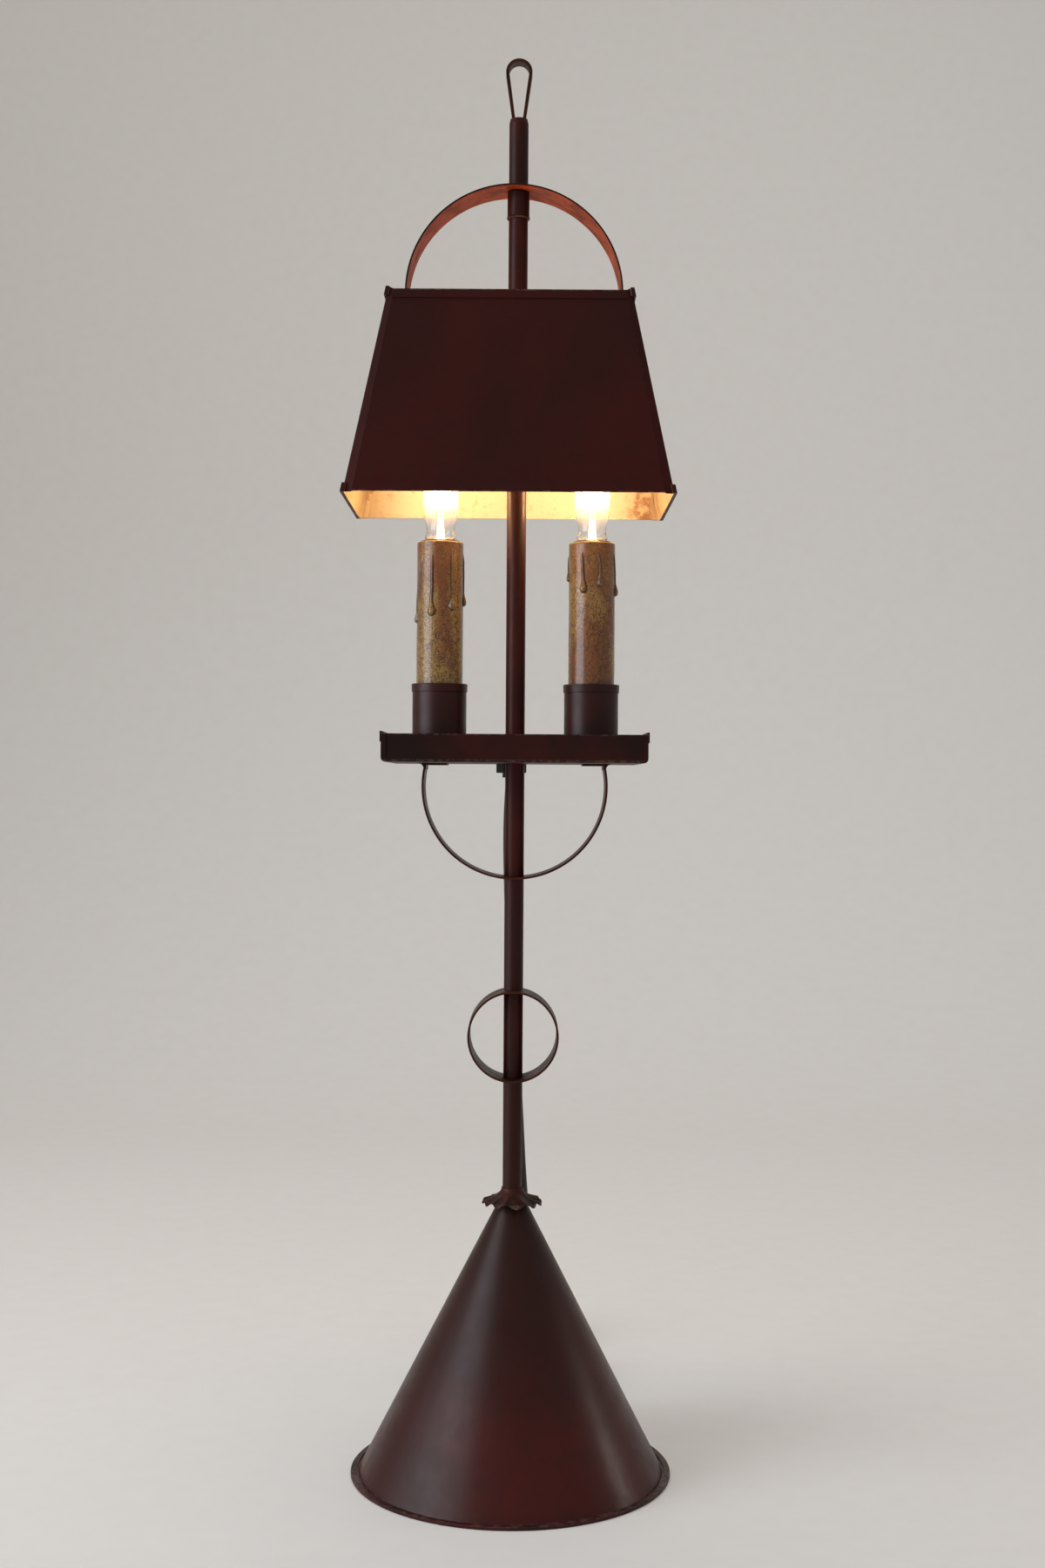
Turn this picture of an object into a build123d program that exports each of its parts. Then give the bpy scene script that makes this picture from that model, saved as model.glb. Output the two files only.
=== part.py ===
"""Two-candle bouillotte lamp in painted tin plate.

Millimetres, +Z up, the front towards -Y.  The origin is on the stem's axis, on the face that the lamp
stands on.  Each sub-part is a function that returns its solids; main() writes one STEP file for each.
"""
from build123d import *
from math import acos, atan2, cos, hypot, pi, radians, sin, sqrt, tan
import os

# ---------------------------------------------------------------- fits between pieces
SEAT_GAP = 0.05            # radial gap where a tube is soldered or nutted into a hole
RUNNING_GAP = 0.08         # radial gap of what slides or turns on a shaft
FREE_GAP = 0.3             # gap between pieces that move past each other
OVERCUT = 1.0              # a cutting shape reaches this far past what it cuts

# ---------------------------------------------------------------- sheet and strap stock
TIN = 0.6                  # tin plate of the cone, base, tray and cups
SHADE_TIN = 0.5            # lighter plate of the shade
STRAP_WIDTH = 25.0         # strip that the bail, the brace and the ring are bent from
STRAP_THICKNESS = 1.1

# ---------------------------------------------------------------- stem
STEM_DIAMETER = 10.4
STEM_WALL = 0.8
STEM_FOOT_Z = 2.0
STEM_TOP_Z = 730.0
STEM_CRIMP_HEIGHT = 2.6    # the tube's mouth is crimped in round the loop's legs
STEM_CRIMP = 0.5

# ---------------------------------------------------------------- base
BASE_RADIUS = 86.0
BASE_SEAM_WIDTH = 3.2      # width of the base plate's edge, folded over the cone's flange
CONE_FLANGE_WIDTH = 4.2
CONE_TIP_GAP = 0.35        # radial room between the cone's tip and the stem
CONE_TOP_Z = 148.0
CONE_LAP_WIDTH = 5.0       # lap seam up the cone's back
CONE_LAP_MARGIN = 2.0      # the lap ends this far above the flange and below the collar
WEIGHT_MARGIN = 19.8       # from the weight's edge to the cone's foot
WEIGHT_HEIGHT = 11.0
WEIGHT_BEVEL = 2.0
WEIGHT_RECESS_ROOM = 2.5   # room for a spanner round the lower nut

# ---------------------------------------------------------------- crimped collar over the cone's tip
COLLAR_SHEET = 0.5
COLLAR_RISE = 5.2          # above the cone's tip
COLLAR_DROP = 2.5          # of its rim below the cone's tip
COLLAR_NECK_HEIGHT = 3.4
COLLAR_SPREAD = 10.25      # how far the rim stands out from the neck
COLLAR_WAIST = 0.44        # share of the spread at which it turns out level
COLLAR_LOBES = 11
COLLAR_LOBE_STEPS = 6      # sections across each lobe
COLLAR_RUFFLE = 1.25       # height of the ruffle above and below the rim's mean line
COLLAR_RUFFLE_RUN_IN = 0.2 # share of the ruffle that the collar already has at its waist
COLLAR_SLIT_DEGREES = 3.0  # open joint of the rolled strip, at the back
COLLAR_SWAY_TWICE = 0.7    # the lobes aren't even: their phase sways by this, twice round
COLLAR_SWAY_THRICE = 0.5   # and by this, three times round
COLLAR_UNEVEN = 0.22       # share by which the ruffle's height grows and shrinks, once round
COLLAR_UNEVEN_PHASE = 0.6
COLLAR_RIM_TUCK = 0.3      # share of the ruffle's rise by which the rim draws in
COLLAR_RIM_LEAN_OUT = 0.4  # shares of the sheet by which the rim's lower edge stands out and hangs down
COLLAR_RIM_LEAN_DOWN = 0.9

# ---------------------------------------------------------------- loop at the top
LOOP_HEIGHT = 32.0         # above the stem's mouth
LOOP_WIDTH = 14.2
LOOP_STRIP = 1.7
LOOP_DEPTH = 7.4
LOOP_MOUTH_GAP = 0.45      # room at each side where its legs enter the stem's mouth
LOOP_MOUTH_DEPTH = 3.6
LOOP_TANG_LENGTH = 16.0
LOOP_TANG_INSET = 0.9      # the legs run down inside the tube, this far in from its wall

# ---------------------------------------------------------------- ring on the stem
RING_DIAMETER = 49.0
RING_CENTRE_Z = 235.5

# ---------------------------------------------------------------- tray and what carries it
TRAY_WIDTH = 138.0
TRAY_DEPTH = 100.0
TRAY_FLOOR_Z = 382.0
TRAY_HEIGHT = 14.7
TRAY_CORNER = 2.2
TRAY_LAP = 2.5             # the end walls' hems turn this far round the corners
TRAY_HEM_HEIGHT = 5.4
TRAY_HEM_RISE = 1.2        # the end walls stand this much above the front and back walls
DECK_RISE = 9.0            # top of the deck that hides the wiring, above the tray's floor
DECK_LEG_WIDTH = 8.0
DECK_LEG_INSET = 10.0      # from the deck's side to the middle of a leg
BRACE_RADIUS = 49.8
BRACE_CENTRE_DROP = 12.4   # below the tray's floor
BRACE_FOOT_LENGTH = 12.0
BRACE_SOLDER = 3.2         # size of the solder fillet outside each foot
BRACE_SOLDER_BITE = 0.8    # the solder reaches this far into the strap

# ---------------------------------------------------------------- candles
CANDLE_SPACING = 82.0
CANDLE_DIAMETER = 25.0
CANDLE_WALL = 1.6
CANDLE_LENGTH = 109.4
CANDLE_EDGE = 0.9          # rounding of the outer rim
CUP_ROOM = 1.5             # between the candle and the cup's wall
CUP_HEIGHT = 33.7
CUP_CORNER = 0.8
CUP_BAND_HEIGHT = 4.5
CUP_BAND_THICKNESS = 0.45
# Each drip: angle round the candle (0 is right, 270 is the front), its run as a share of the candle's
# length, and its bead's radius as a multiple of the thread's
LEFT_DRIPS = [(183, 0.398, 2.2), (243, 0.38, 1.9), (283, 0.352, 2.2), (352, 0.33, 2.1),
              (40, 0.285, 1.9), (98, 0.376, 2.0), (140, 0.312, 1.8)]
RIGHT_DRIPS = [(186, 0.19, 1.7), (232, 0.248, 1.7), (300, 0.22, 1.9), (352, 0.262, 2.0),
               (60, 0.302, 1.9), (118, 0.239, 1.8)]
DRIP_THREAD_RADIUS = 0.75
DRIP_SUNK = 0.45           # share of its radius that the thread's axis lies inside the candle's side
DRIP_START_DROP = 4.0      # the drips start this far below the rim

# ---------------------------------------------------------------- threaded pipe, nuts and wires
PIPE_DIAMETER = 9.7
PIPE_BORE = 6.8
NUT_ACROSS_FLATS = 14.3
CORD_NUT_THICKNESS = 5.0
NUT_THICKNESS = 3.0
CUP_PIPE_LENGTH = 14.0
CORD_PIPE_END = 2.5        # of the pipe shows below the cord's nut
CORD_EXIT_X = -2.0
CORD_EXIT_Y = 16.5
WIRE_DIAMETER = 2.0
WIRE_BEND = 1.2            # radius of a wire's bends, in its diameters
WIRE_SPACING = 2.3
SPLICE_DIAMETER = 7.0
SPLICE_LENGTH = 16.0
SPLICE_EDGE = 0.5          # chamfer of its rims
SPLICE_MARGIN = 2.5        # from the tray's back wall to the nearest splice
SPLICE_SPACING = 8.0
LEAD_TURN = 8.0            # the leads turn back this far out from a splice's end

# ---------------------------------------------------------------- sockets and bulbs
SOCKET_RISE = 0.9          # above the candle's rim
SOCKET_FLANGE_HEIGHT = 2.4
SOCKET_FLANGE_WIDTH = 0.9
SOCKET_FLOOR = 6.0
SOCKET_BEVEL = 1.5
SCREW_GAP = 0.2            # radial gap of the bulb's cap in the screw shell
SCREW_SHELL_WALL = 0.35
SCREW_SHELL_LIP = 1.6      # the shell ends this far below the socket's mouth
CONTACT_ROOM = 5.5         # depth of the socket below the bulb's cap
CONTACT_STRIP = 0.4
CONTACT_WIDTH = 3.0
BRACKET_WIDTH = 8.0
BRACKET_THICKNESS = 1.2
BRACKET_HUB_WALL = 1.6
BULB_BASE_DIAMETER = 11.8
BULB_BASE_LENGTH = 16.5
BULB_DIAMETER = 19.0
BULB_NECK_DIAMETER = 15.3
BULB_SKIRT_DIAMETER = 17.0
BULB_LENGTH = 56.0         # the glass above the cap
BULB_GLASS = 0.7
BULB_CAP_WALL = 0.4
BULB_CAP_TAPER = 3.4       # height of the insulating end of the cap
BULB_NECK_IN_CAP = 4.0
BULB_NECK_HEIGHT = 5.2     # height of the waist above the cap
BULB_SHOULDER = 17.0       # height of the full width above the cap, and of the dome at the tip
FILAMENT_WIRE = 0.6
FILAMENT_WIDTH = 8.4
FILAMENT_HEIGHT = 32.0     # its lower ends, above the cap
FILAMENT_BOW = 4.0
MOUNT_FOOT_RADIUS = 4.2
MOUNT_HEIGHT = 12.0

# ---------------------------------------------------------------- shade
SHADE_HEIGHT = 109.5
SHADE_FOOT_WIDTH = 171.0
SHADE_FOOT_DEPTH = 103.0
SHADE_TOP_WIDTH = 128.6
SHADE_TOP_DEPTH = 60.0
SHADE_OFFSET_X = -4.0      # the shade hangs a little to the left of the stem
SHADE_FOOT_BEVEL = 4.8     # width of the bevelled corners that the end panels turn round, at the foot
SHADE_TOP_BEVEL = 3.2
SHADE_BEVEL_DEGREES = 17.0 # of the bevels to the front and back panels
SHADE_LAP = 2.2            # the front and back panels run on behind the bevels by this much
SHADE_HEM_HEIGHT = 4.8
SHADE_ROLL = 1.3           # thickness of the end panels' rolled hems
SHADE_EAR = 1.6            # the rolled hems stand out past the corners
SHADE_EAR_RISE = 1.4       # the end panels' corners stand this much above the front and back panels
SHADE_FOOT_DROP = 0.4      # the end panels reach this much below the front and back panels
BAIL_TOP_DROP = 38.0       # crown of the bail below the stem's mouth, at rest
BAIL_RISE = 61.2           # crown of the bail above the shade
BAIL_INSET = 5.9           # from the shade's top edge to the bail's side
BAIL_OFFSET_X = -2.0
BAIL_STRAP = 0.9
BAIL_PAD_TOP_DROP = 12.0   # the bail's legs reach the end panels this far below the shade's top
BAIL_PAD_LENGTH = 18.0
SLEEVE_WALL = 0.67
SLEEVE_FOOT_DROP = 16.0    # below the bail's crown
SLEEVE_BEAD = 0.35
SLEEVE_BEAD_HEIGHT = 1.4

# ---------------------------------------------------------------- cord, switch and plug
CORD_DIAMETER = 5.4
CORD_INTO_PIPE = 6.0
COIL_MEAN_DIAMETER = 60.0
COIL_CENTRE = (-5.0, 246.0)
COIL_STUB = 30.0           # straight cord from the coil's turns to its free faces
COIL_SKIN = 0.3            # the coil's outer shape stands this far off its turns
TAIL_LENGTH = 30.0         # from the switch to the coil
PLUG_LEAD_LENGTH = 46.0    # from the coil to the plug
SWITCH_LENGTH = 54.0
SWITCH_WALL = 2.6          # side wall behind the wheel
SWITCH_HEIGHT = 12.4
SWITCH_NOSE = 6.0
SWITCH_NOSE_WALL = 0.8     # of the nose round the cord, at its thin end
SWITCH_NOSE_TAPER = 1.0
SWITCH_NOSE_BITE = 1.0     # the nose starts this far inside the case's end
SWITCH_CORNER = 7.0
SWITCH_EDGE = 2.0
WHEEL_DIAMETER = 20.0
WHEEL_THICKNESS = 3.4
WHEEL_PROUD = 3.2          # the wheel stands this far out of the switch's side
WHEEL_PIN_DIAMETER = 3.0
WHEEL_NOTCHES = 24
WHEEL_NOTCH_RADIUS = 0.75
WHEEL_NOTCH_DEPTH = 0.4
PLUG_WIDTH = 17.0
PLUG_THICKNESS = 12.0
PLUG_LENGTH = 22.0
PLUG_NOSE = 14.0
PLUG_NOSE_WALL = 0.7       # of the nose round the cord, at its thin end
PLUG_NOSE_TAPER = 1.5
PLUG_NOSE_BITE = 1.0       # the nose reaches this far into the head
PLUG_CORNER = 0.4          # corner radius, in the plug's thicknesses
PLUG_BACK = 0.88           # thickness of the head at its back, in the plug's thicknesses
PLUG_FLARE = 4.0           # how much wider the plug is towards its face
PLUG_FLARE_LENGTH = 15.0
BLADE_WIDTH = 6.3
BLADE_THICKNESS = 1.5
BLADE_LENGTH = 16.5
BLADE_SPACING = 12.7
BLADE_HOLE_DIAMETER = 3.0
BLADE_HOLE_INSET = 4.0
BLADE_EDGE = 0.4           # chamfer of the blade's tip
FLOOR_GAP = 0.1            # what lies on the table clears it by this much

# ---------------------------------------------------------------- worked out from the above
STEM_RADIUS = STEM_DIAMETER / 2
STEM_HOLE = STEM_RADIUS + SEAT_GAP
STEM_BORE = STEM_RADIUS - STEM_WALL
NUT_CORNER = NUT_ACROSS_FLATS / sqrt(3)
CONE_FOOT_RADIUS = BASE_RADIUS - CONE_FLANGE_WIDTH
CONE_TOP_RADIUS = STEM_HOLE + CONE_TIP_GAP + TIN
WEIGHT_RADIUS = CONE_FOOT_RADIUS - WEIGHT_MARGIN
WEIGHT_TOP_Z = TIN + WEIGHT_HEIGHT
COLLAR_TOP_Z = CONE_TOP_Z + COLLAR_RISE
COLLAR_RIM_Z = CONE_TOP_Z - COLLAR_DROP
LOOP_TOP_Z = STEM_TOP_Z + LOOP_HEIGHT
LOOP_MOUTH = STEM_BORE - STEM_CRIMP / 2 - LOOP_MOUTH_GAP
BRACE_CENTRE_Z = TRAY_FLOOR_Z - BRACE_CENTRE_DROP
TRAY_TOP_Z = TRAY_FLOOR_Z + TRAY_HEIGHT
DECK_Z = TRAY_FLOOR_Z + DECK_RISE
CANDLE_X = CANDLE_SPACING / 2
CANDLE_RADIUS = CANDLE_DIAMETER / 2
CANDLE_BORE = CANDLE_RADIUS - CANDLE_WALL
CUP_FLOOR_Z = DECK_Z + TIN
CUP_RADIUS = CANDLE_RADIUS + CUP_ROOM + TIN
CUP_RIM_Z = DECK_Z + CUP_HEIGHT
CANDLE_TOP_Z = CUP_FLOOR_Z + CANDLE_LENGTH
BRACKET_Z = CUP_FLOOR_Z + NUT_THICKNESS
SOCKET_TOP_Z = CANDLE_TOP_Z + SOCKET_RISE
SOCKET_FLANGE_RADIUS = CANDLE_BORE - FREE_GAP
SOCKET_RADIUS = SOCKET_FLANGE_RADIUS - SOCKET_FLANGE_WIDTH
SOCKET_WELL_Z = SOCKET_TOP_Z - BULB_BASE_LENGTH - CONTACT_ROOM
SOCKET_FOOT_Z = SOCKET_WELL_Z - SOCKET_FLOOR
SHELL_BORE = BULB_BASE_DIAMETER / 2 + SCREW_GAP
BULB_FOOT_Z = SOCKET_TOP_Z - BULB_BASE_LENGTH
PIPE_RADIUS = PIPE_DIAMETER / 2
PIPE_HOLE = PIPE_RADIUS + SEAT_GAP
CUP_PIPE_Z = DECK_Z - TIN - NUT_THICKNESS
SPLICE_Z = (TRAY_FLOOR_Z + DECK_Z) / 2
SPLICE_FAR_Y = TRAY_DEPTH / 2 - SPLICE_MARGIN - SPLICE_DIAMETER / 2
SPLICE_Y = (SPLICE_FAR_Y - SPLICE_SPACING, SPLICE_FAR_Y)
BAIL_TOP_Z = STEM_TOP_Z - BAIL_TOP_DROP
BAIL_RADIUS = SHADE_TOP_WIDTH / 2 - BAIL_INSET
SHADE_TOP_Z = BAIL_TOP_Z - BAIL_RISE
SHADE_FOOT_Z = SHADE_TOP_Z - SHADE_HEIGHT
SLEEVE_RADIUS = STEM_RADIUS + RUNNING_GAP + SLEEVE_WALL
CORD_RADIUS = CORD_DIAMETER / 2
CORD_PIPE_FOOT_Z = TRAY_FLOOR_Z - CORD_NUT_THICKNESS - CORD_PIPE_END
CORD_PIPE_TOP_Z = TRAY_FLOOR_Z + TIN + NUT_THICKNESS
WHEEL_ROOM = WHEEL_DIAMETER / 2 + 2 * FREE_GAP
SWITCH_WIDTH = SWITCH_WALL + WHEEL_ROOM + WHEEL_DIAMETER / 2 - WHEEL_PROUD
WHEEL_OFFSET = SWITCH_WIDTH / 2 + WHEEL_PROUD - WHEEL_DIAMETER / 2
SWITCH_AXIS_Z = SWITCH_HEIGHT / 2 + FLOOR_GAP
COIL_RADIUS = COIL_MEAN_DIAMETER / 2
COIL_SIDE = COIL_RADIUS + CORD_DIAMETER
COIL_TURN_Z = [CORD_RADIUS + FLOOR_GAP + COIL_SKIN + level * CORD_DIAMETER for level in range(3)]
COIL_IN_X = COIL_CENTRE[0] + COIL_SIDE
COIL_OUT_X = COIL_CENTRE[0] - COIL_RADIUS
COIL_STUB_Y = COIL_CENTRE[1] - COIL_STUB
SWITCH_Y = COIL_STUB_Y - TAIL_LENGTH - SWITCH_LENGTH / 2 - SWITCH_NOSE
PLUG_AXIS_Z = PLUG_THICKNESS / 2 + FLOOR_GAP

# The cord's route from the pipe under the tray, down behind the brace, the ring and the cone, to the switch
CORD_ROUTE = [
    (CORD_EXIT_X, CORD_EXIT_Y, CORD_PIPE_FOOT_Z + CORD_INTO_PIPE),
    (-3.1, 16.6, 363.0),
    (-3.7, 17.1, 339.0),
    (-2.4, 17.8, 296.0),
    (0.2, 18.2, 240.0),
    (3.0, 19.2, 192.0),
    (5.2, 22.4, 150.0),
    (9.0, 33.0, 112.0),
    (15.5, 52.0, 74.0),
    (22.0, 70.0, 38.5),
    (26.5, 83.0, 19.8),
    (29.4, 97.0, 9.8),
    (COIL_IN_X, 111.0, SWITCH_AXIS_Z),
    (COIL_IN_X, SWITCH_Y - SWITCH_LENGTH / 2 - SWITCH_NOSE, SWITCH_AXIS_Z),
]
# The cord from the switch to the coil, and from the coil to the plug
TAIL_ROUTE = [
    (COIL_IN_X, COIL_STUB_Y - TAIL_LENGTH, SWITCH_AXIS_Z),
    (COIL_IN_X, COIL_STUB_Y - 0.68 * TAIL_LENGTH, SWITCH_AXIS_Z),
    (COIL_IN_X, COIL_STUB_Y - 0.32 * TAIL_LENGTH, COIL_TURN_Z[0]),
    (COIL_IN_X, COIL_STUB_Y, COIL_TURN_Z[0]),
]
PLUG_LEAD_ROUTE = [
    (COIL_OUT_X, COIL_STUB_Y, COIL_TURN_Z[2]),
    (COIL_OUT_X, COIL_STUB_Y - 0.29 * PLUG_LEAD_LENGTH, COIL_TURN_Z[2]),
    (COIL_OUT_X, COIL_STUB_Y - 0.71 * PLUG_LEAD_LENGTH, PLUG_AXIS_Z),
    (COIL_OUT_X, COIL_STUB_Y - PLUG_LEAD_LENGTH, PLUG_AXIS_Z),
]


# ================================================================ helpers
def tube(radius, bore, low, high, x=0.0, y=0.0):
    """An upright tube, or a rod where bore is 0."""
    body = Pos(x, y, (low + high) / 2) * Cylinder(radius, high - low)
    if bore:
        body -= Pos(x, y, (low + high) / 2) * Cylinder(bore, high - low + 2 * OVERCUT)
    return body


def turned(points, x=0.0, y=0.0):
    """The solid that a closed outline of (radius, z) points makes about an upright axis."""
    outline = make_face(Plane.XZ * Polyline(*points, close=True))
    return Pos(x, y, 0) * revolve(outline, Axis.Z)


def block(low, high):
    """A box from its lowest to its highest corner."""
    size = [b - a for a, b in zip(low, high)]
    middle = [(a + b) / 2 for a, b in zip(low, high)]
    return Pos(*middle) * Box(*size)


def strip(outline, width):
    """A flat outline in the XZ plane, made width deep and centred on the stem."""
    return Pos(0, width / 2, 0) * extrude(Plane.XZ * outline, width)


def nut(low, thickness, bore, x=0.0, y=0.0):
    """A hexagon nut with its corners along X and its faces chamfered."""
    hexagon = Pos(x, y, low) * extrude(RegularPolygon(NUT_CORNER, 6), thickness)
    bevel = NUT_CORNER - NUT_ACROSS_FLATS / 2
    inside, outside = NUT_CORNER - bevel / 2, NUT_CORNER + bevel / 8
    dome = turned([(0, low), (inside, low), (outside, low + bevel / 3),
                   (outside, low + thickness - bevel / 3), (inside, low + thickness),
                   (0, low + thickness)], x, y)
    return (hexagon & dome) - tube(bore, 0, low - OVERCUT, low + thickness + OVERCUT, x, y)


def rounded_path(points, radii):
    """Straight runs joined by tangent arcs."""
    return FilletPolyline(*points, radius=radii)


def run_lengths(points):
    return [hypot(*(b - a for a, b in zip(p, q))) for p, q in zip(points, points[1:])]


def corner_radii(points):
    """Each corner's arc takes 0.45 of its shorter run on each side."""
    runs = run_lengths(points)
    radii = []
    for k in range(1, len(points) - 1):
        before = Vector(*points[k]) - Vector(*points[k - 1])
        after = Vector(*points[k + 1]) - Vector(*points[k])
        turn = radians(before.get_angle(after))
        radii.append(0.45 * min(runs[k - 1], runs[k]) / tan(turn / 2))
    return radii


def swept_round(points, radii, diameter):
    """A round cord or wire along a rounded path."""
    path = rounded_path(points, radii)
    start = Plane(origin=path @ 0, z_dir=path % 0)
    return sweep(start * Circle(diameter / 2), path=path), path.length


def cord_run(name, points):
    """A cord's tube; its radii, length and volume are printed."""
    radii = corner_radii(points)
    solid, length = swept_round(points, radii, CORD_DIAMETER)
    section = pi * CORD_RADIUS ** 2
    print(f"{name}: length {length:.1f}, radii {[round(r) for r in radii]},"
          f" runs {[round(r, 1) for r in run_lengths(points)]},"
          f" volume {solid.volume:.0f} against {section * length:.0f}")
    return solid


# ================================================================ base
def cone_radius(z):
    """Outer radius of the cone at a height."""
    share = (z - 2 * TIN) / (CONE_TOP_Z - 2 * TIN)
    return CONE_FOOT_RADIUS + share * (CONE_TOP_RADIUS - CONE_FOOT_RADIUS)


def cone_outline(swell, foot_z):
    """Outer line of the cone, swollen outwards, from foot_z to its tip."""
    return [(cone_radius(foot_z) + swell, foot_z), (CONE_TOP_RADIUS + swell, CONE_TOP_Z)]


def base_cone():
    """Rolled cone with a flange at its foot and a lap seam up its back."""
    flange_radius = BASE_RADIUS - TIN - SEAT_GAP
    foot, tip = cone_outline(0, 2 * TIN)
    shell = turned([
        (flange_radius, TIN), (flange_radius, 2 * TIN), foot, tip,
        (CONE_TOP_RADIUS - TIN, CONE_TOP_Z), (CONE_FOOT_RADIUS - TIN, 2 * TIN),
        (CONE_FOOT_RADIUS - 2 * TIN, TIN),
    ])
    lap_foot_z = 2 * TIN + CONE_LAP_MARGIN
    lap_top_z = COLLAR_RIM_Z - COLLAR_RUFFLE - CONE_LAP_MARGIN
    lap = turned([
        (cone_radius(lap_foot_z) - TIN / 2, lap_foot_z), (cone_radius(lap_foot_z) + TIN, lap_foot_z),
        (cone_radius(lap_top_z) + TIN, lap_top_z), (cone_radius(lap_top_z) - TIN / 2, lap_top_z),
    ])
    lap &= block((-CONE_LAP_WIDTH / 2, 0, 0), (CONE_LAP_WIDTH / 2, BASE_RADIUS, CONE_TOP_Z))
    return shell + lap


def base_plate():
    """Floor of the base, its edge folded up and over the cone's flange."""
    lip = BASE_RADIUS - BASE_SEAM_WIDTH
    plate = turned([
        (0, 0), (BASE_RADIUS - TIN / 2, 0), (BASE_RADIUS, TIN / 2), (BASE_RADIUS, 3 * TIN - TIN / 3),
        (BASE_RADIUS - TIN / 2, 3 * TIN + TIN / 6), (lip, 3 * TIN), (lip, 2 * TIN),
        (BASE_RADIUS - TIN, 2 * TIN), (BASE_RADIUS - TIN, TIN), (0, TIN),
    ])
    return plate


def base_weight():
    """Cast-iron disc that keeps the lamp upright, bored for the stem, with a recess for its lower nut."""
    recess = NUT_CORNER + WEIGHT_RECESS_ROOM
    recess_top = STEM_FOOT_Z + CORD_NUT_THICKNESS
    return turned([
        (STEM_HOLE, recess_top), (recess, recess_top), (recess, TIN), (WEIGHT_RADIUS, TIN),
        (WEIGHT_RADIUS, WEIGHT_TOP_Z - WEIGHT_BEVEL), (WEIGHT_RADIUS - WEIGHT_BEVEL, WEIGHT_TOP_Z),
        (STEM_HOLE, WEIGHT_TOP_Z),
    ])


def stem_lower_nut():
    return nut(STEM_FOOT_Z, CORD_NUT_THICKNESS, STEM_HOLE)


def stem_upper_nut():
    return nut(WEIGHT_TOP_Z, CORD_NUT_THICKNESS, STEM_HOLE)


def collar_section(angle):
    """The strip's cut face at one angle: straight down the stem, then out to the ruffled rim."""
    sway = COLLAR_SWAY_TWICE * sin(2 * angle) + COLLAR_SWAY_THRICE * sin(3 * angle + 1)
    wave = cos(COLLAR_LOBES * angle + sway)
    ruffle = COLLAR_RUFFLE * wave * (1 + COLLAR_UNEVEN * sin(angle + COLLAR_UNEVEN_PHASE))
    neck_z = COLLAR_TOP_Z - COLLAR_NECK_HEIGHT
    edges = []
    for inset in (0.0, COLLAR_SHEET):
        neck = STEM_HOLE + COLLAR_SHEET - inset
        waist = (neck + COLLAR_WAIST * COLLAR_SPREAD, CONE_TOP_Z + COLLAR_RUFFLE_RUN_IN * ruffle - inset)
        rim_radius = neck + COLLAR_SPREAD - COLLAR_RIM_TUCK * ruffle + COLLAR_RIM_LEAN_OUT * inset
        rim = (rim_radius, COLLAR_RIM_Z + ruffle - COLLAR_RIM_LEAN_DOWN * inset)
        edges.append([(neck, COLLAR_TOP_Z), (neck, neck_z - inset), waist, rim])
    upper, lower = edges
    rim_edge, neck_edge = Line(upper[-1], lower[-1]), Line(lower[0], upper[0])
    outline = [Bezier(*upper), rim_edge, Bezier(*reversed(lower)), neck_edge]
    outwards, across = (cos(angle), sin(angle), 0), (sin(angle), -cos(angle), 0)
    return Plane(origin=(0, 0, 0), x_dir=outwards, z_dir=across) * make_face(outline)


def crimped_collar():
    """Thin strip rolled round the stem and ruffled where it spreads over the cone's tip."""
    steps = COLLAR_LOBES * COLLAR_LOBE_STEPS
    start = radians(90 + COLLAR_SLIT_DEGREES / 2)
    turn = radians(360 - COLLAR_SLIT_DEGREES)
    return loft([collar_section(start + turn * k / steps) for k in range(steps + 1)])


# ================================================================ stem and its trim
def stem_tube():
    """The long tube that everything is fixed to; its mouth is crimped in."""
    crimp_z = STEM_TOP_Z - STEM_CRIMP_HEIGHT
    return turned([
        (STEM_BORE, STEM_FOOT_Z), (STEM_RADIUS, STEM_FOOT_Z), (STEM_RADIUS, crimp_z),
        (STEM_RADIUS - STEM_CRIMP, STEM_TOP_Z), (STEM_BORE - STEM_CRIMP / 2, STEM_TOP_Z),
        (STEM_BORE, crimp_z),
    ])


def teardrop(bow, mouth):
    """Filled loop outline: a bow of this radius and straight legs that close in to the mouth's half width."""
    centre_z = LOOP_TOP_Z - LOOP_WIDTH / 2
    drop = centre_z - STEM_TOP_Z
    touch = atan2(-drop, LOOP_MOUTH) + acos(LOOP_WIDTH / 2 / hypot(LOOP_MOUTH, drop))
    touch_x, touch_z = bow * cos(touch), centre_z + bow * sin(touch)
    legs = make_face(Polyline((-mouth, STEM_TOP_Z), (-touch_x, touch_z), (0, centre_z), (touch_x, touch_z),
                              (mouth, STEM_TOP_Z), close=True))
    return Pos(0, centre_z) * Circle(bow) + legs


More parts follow.
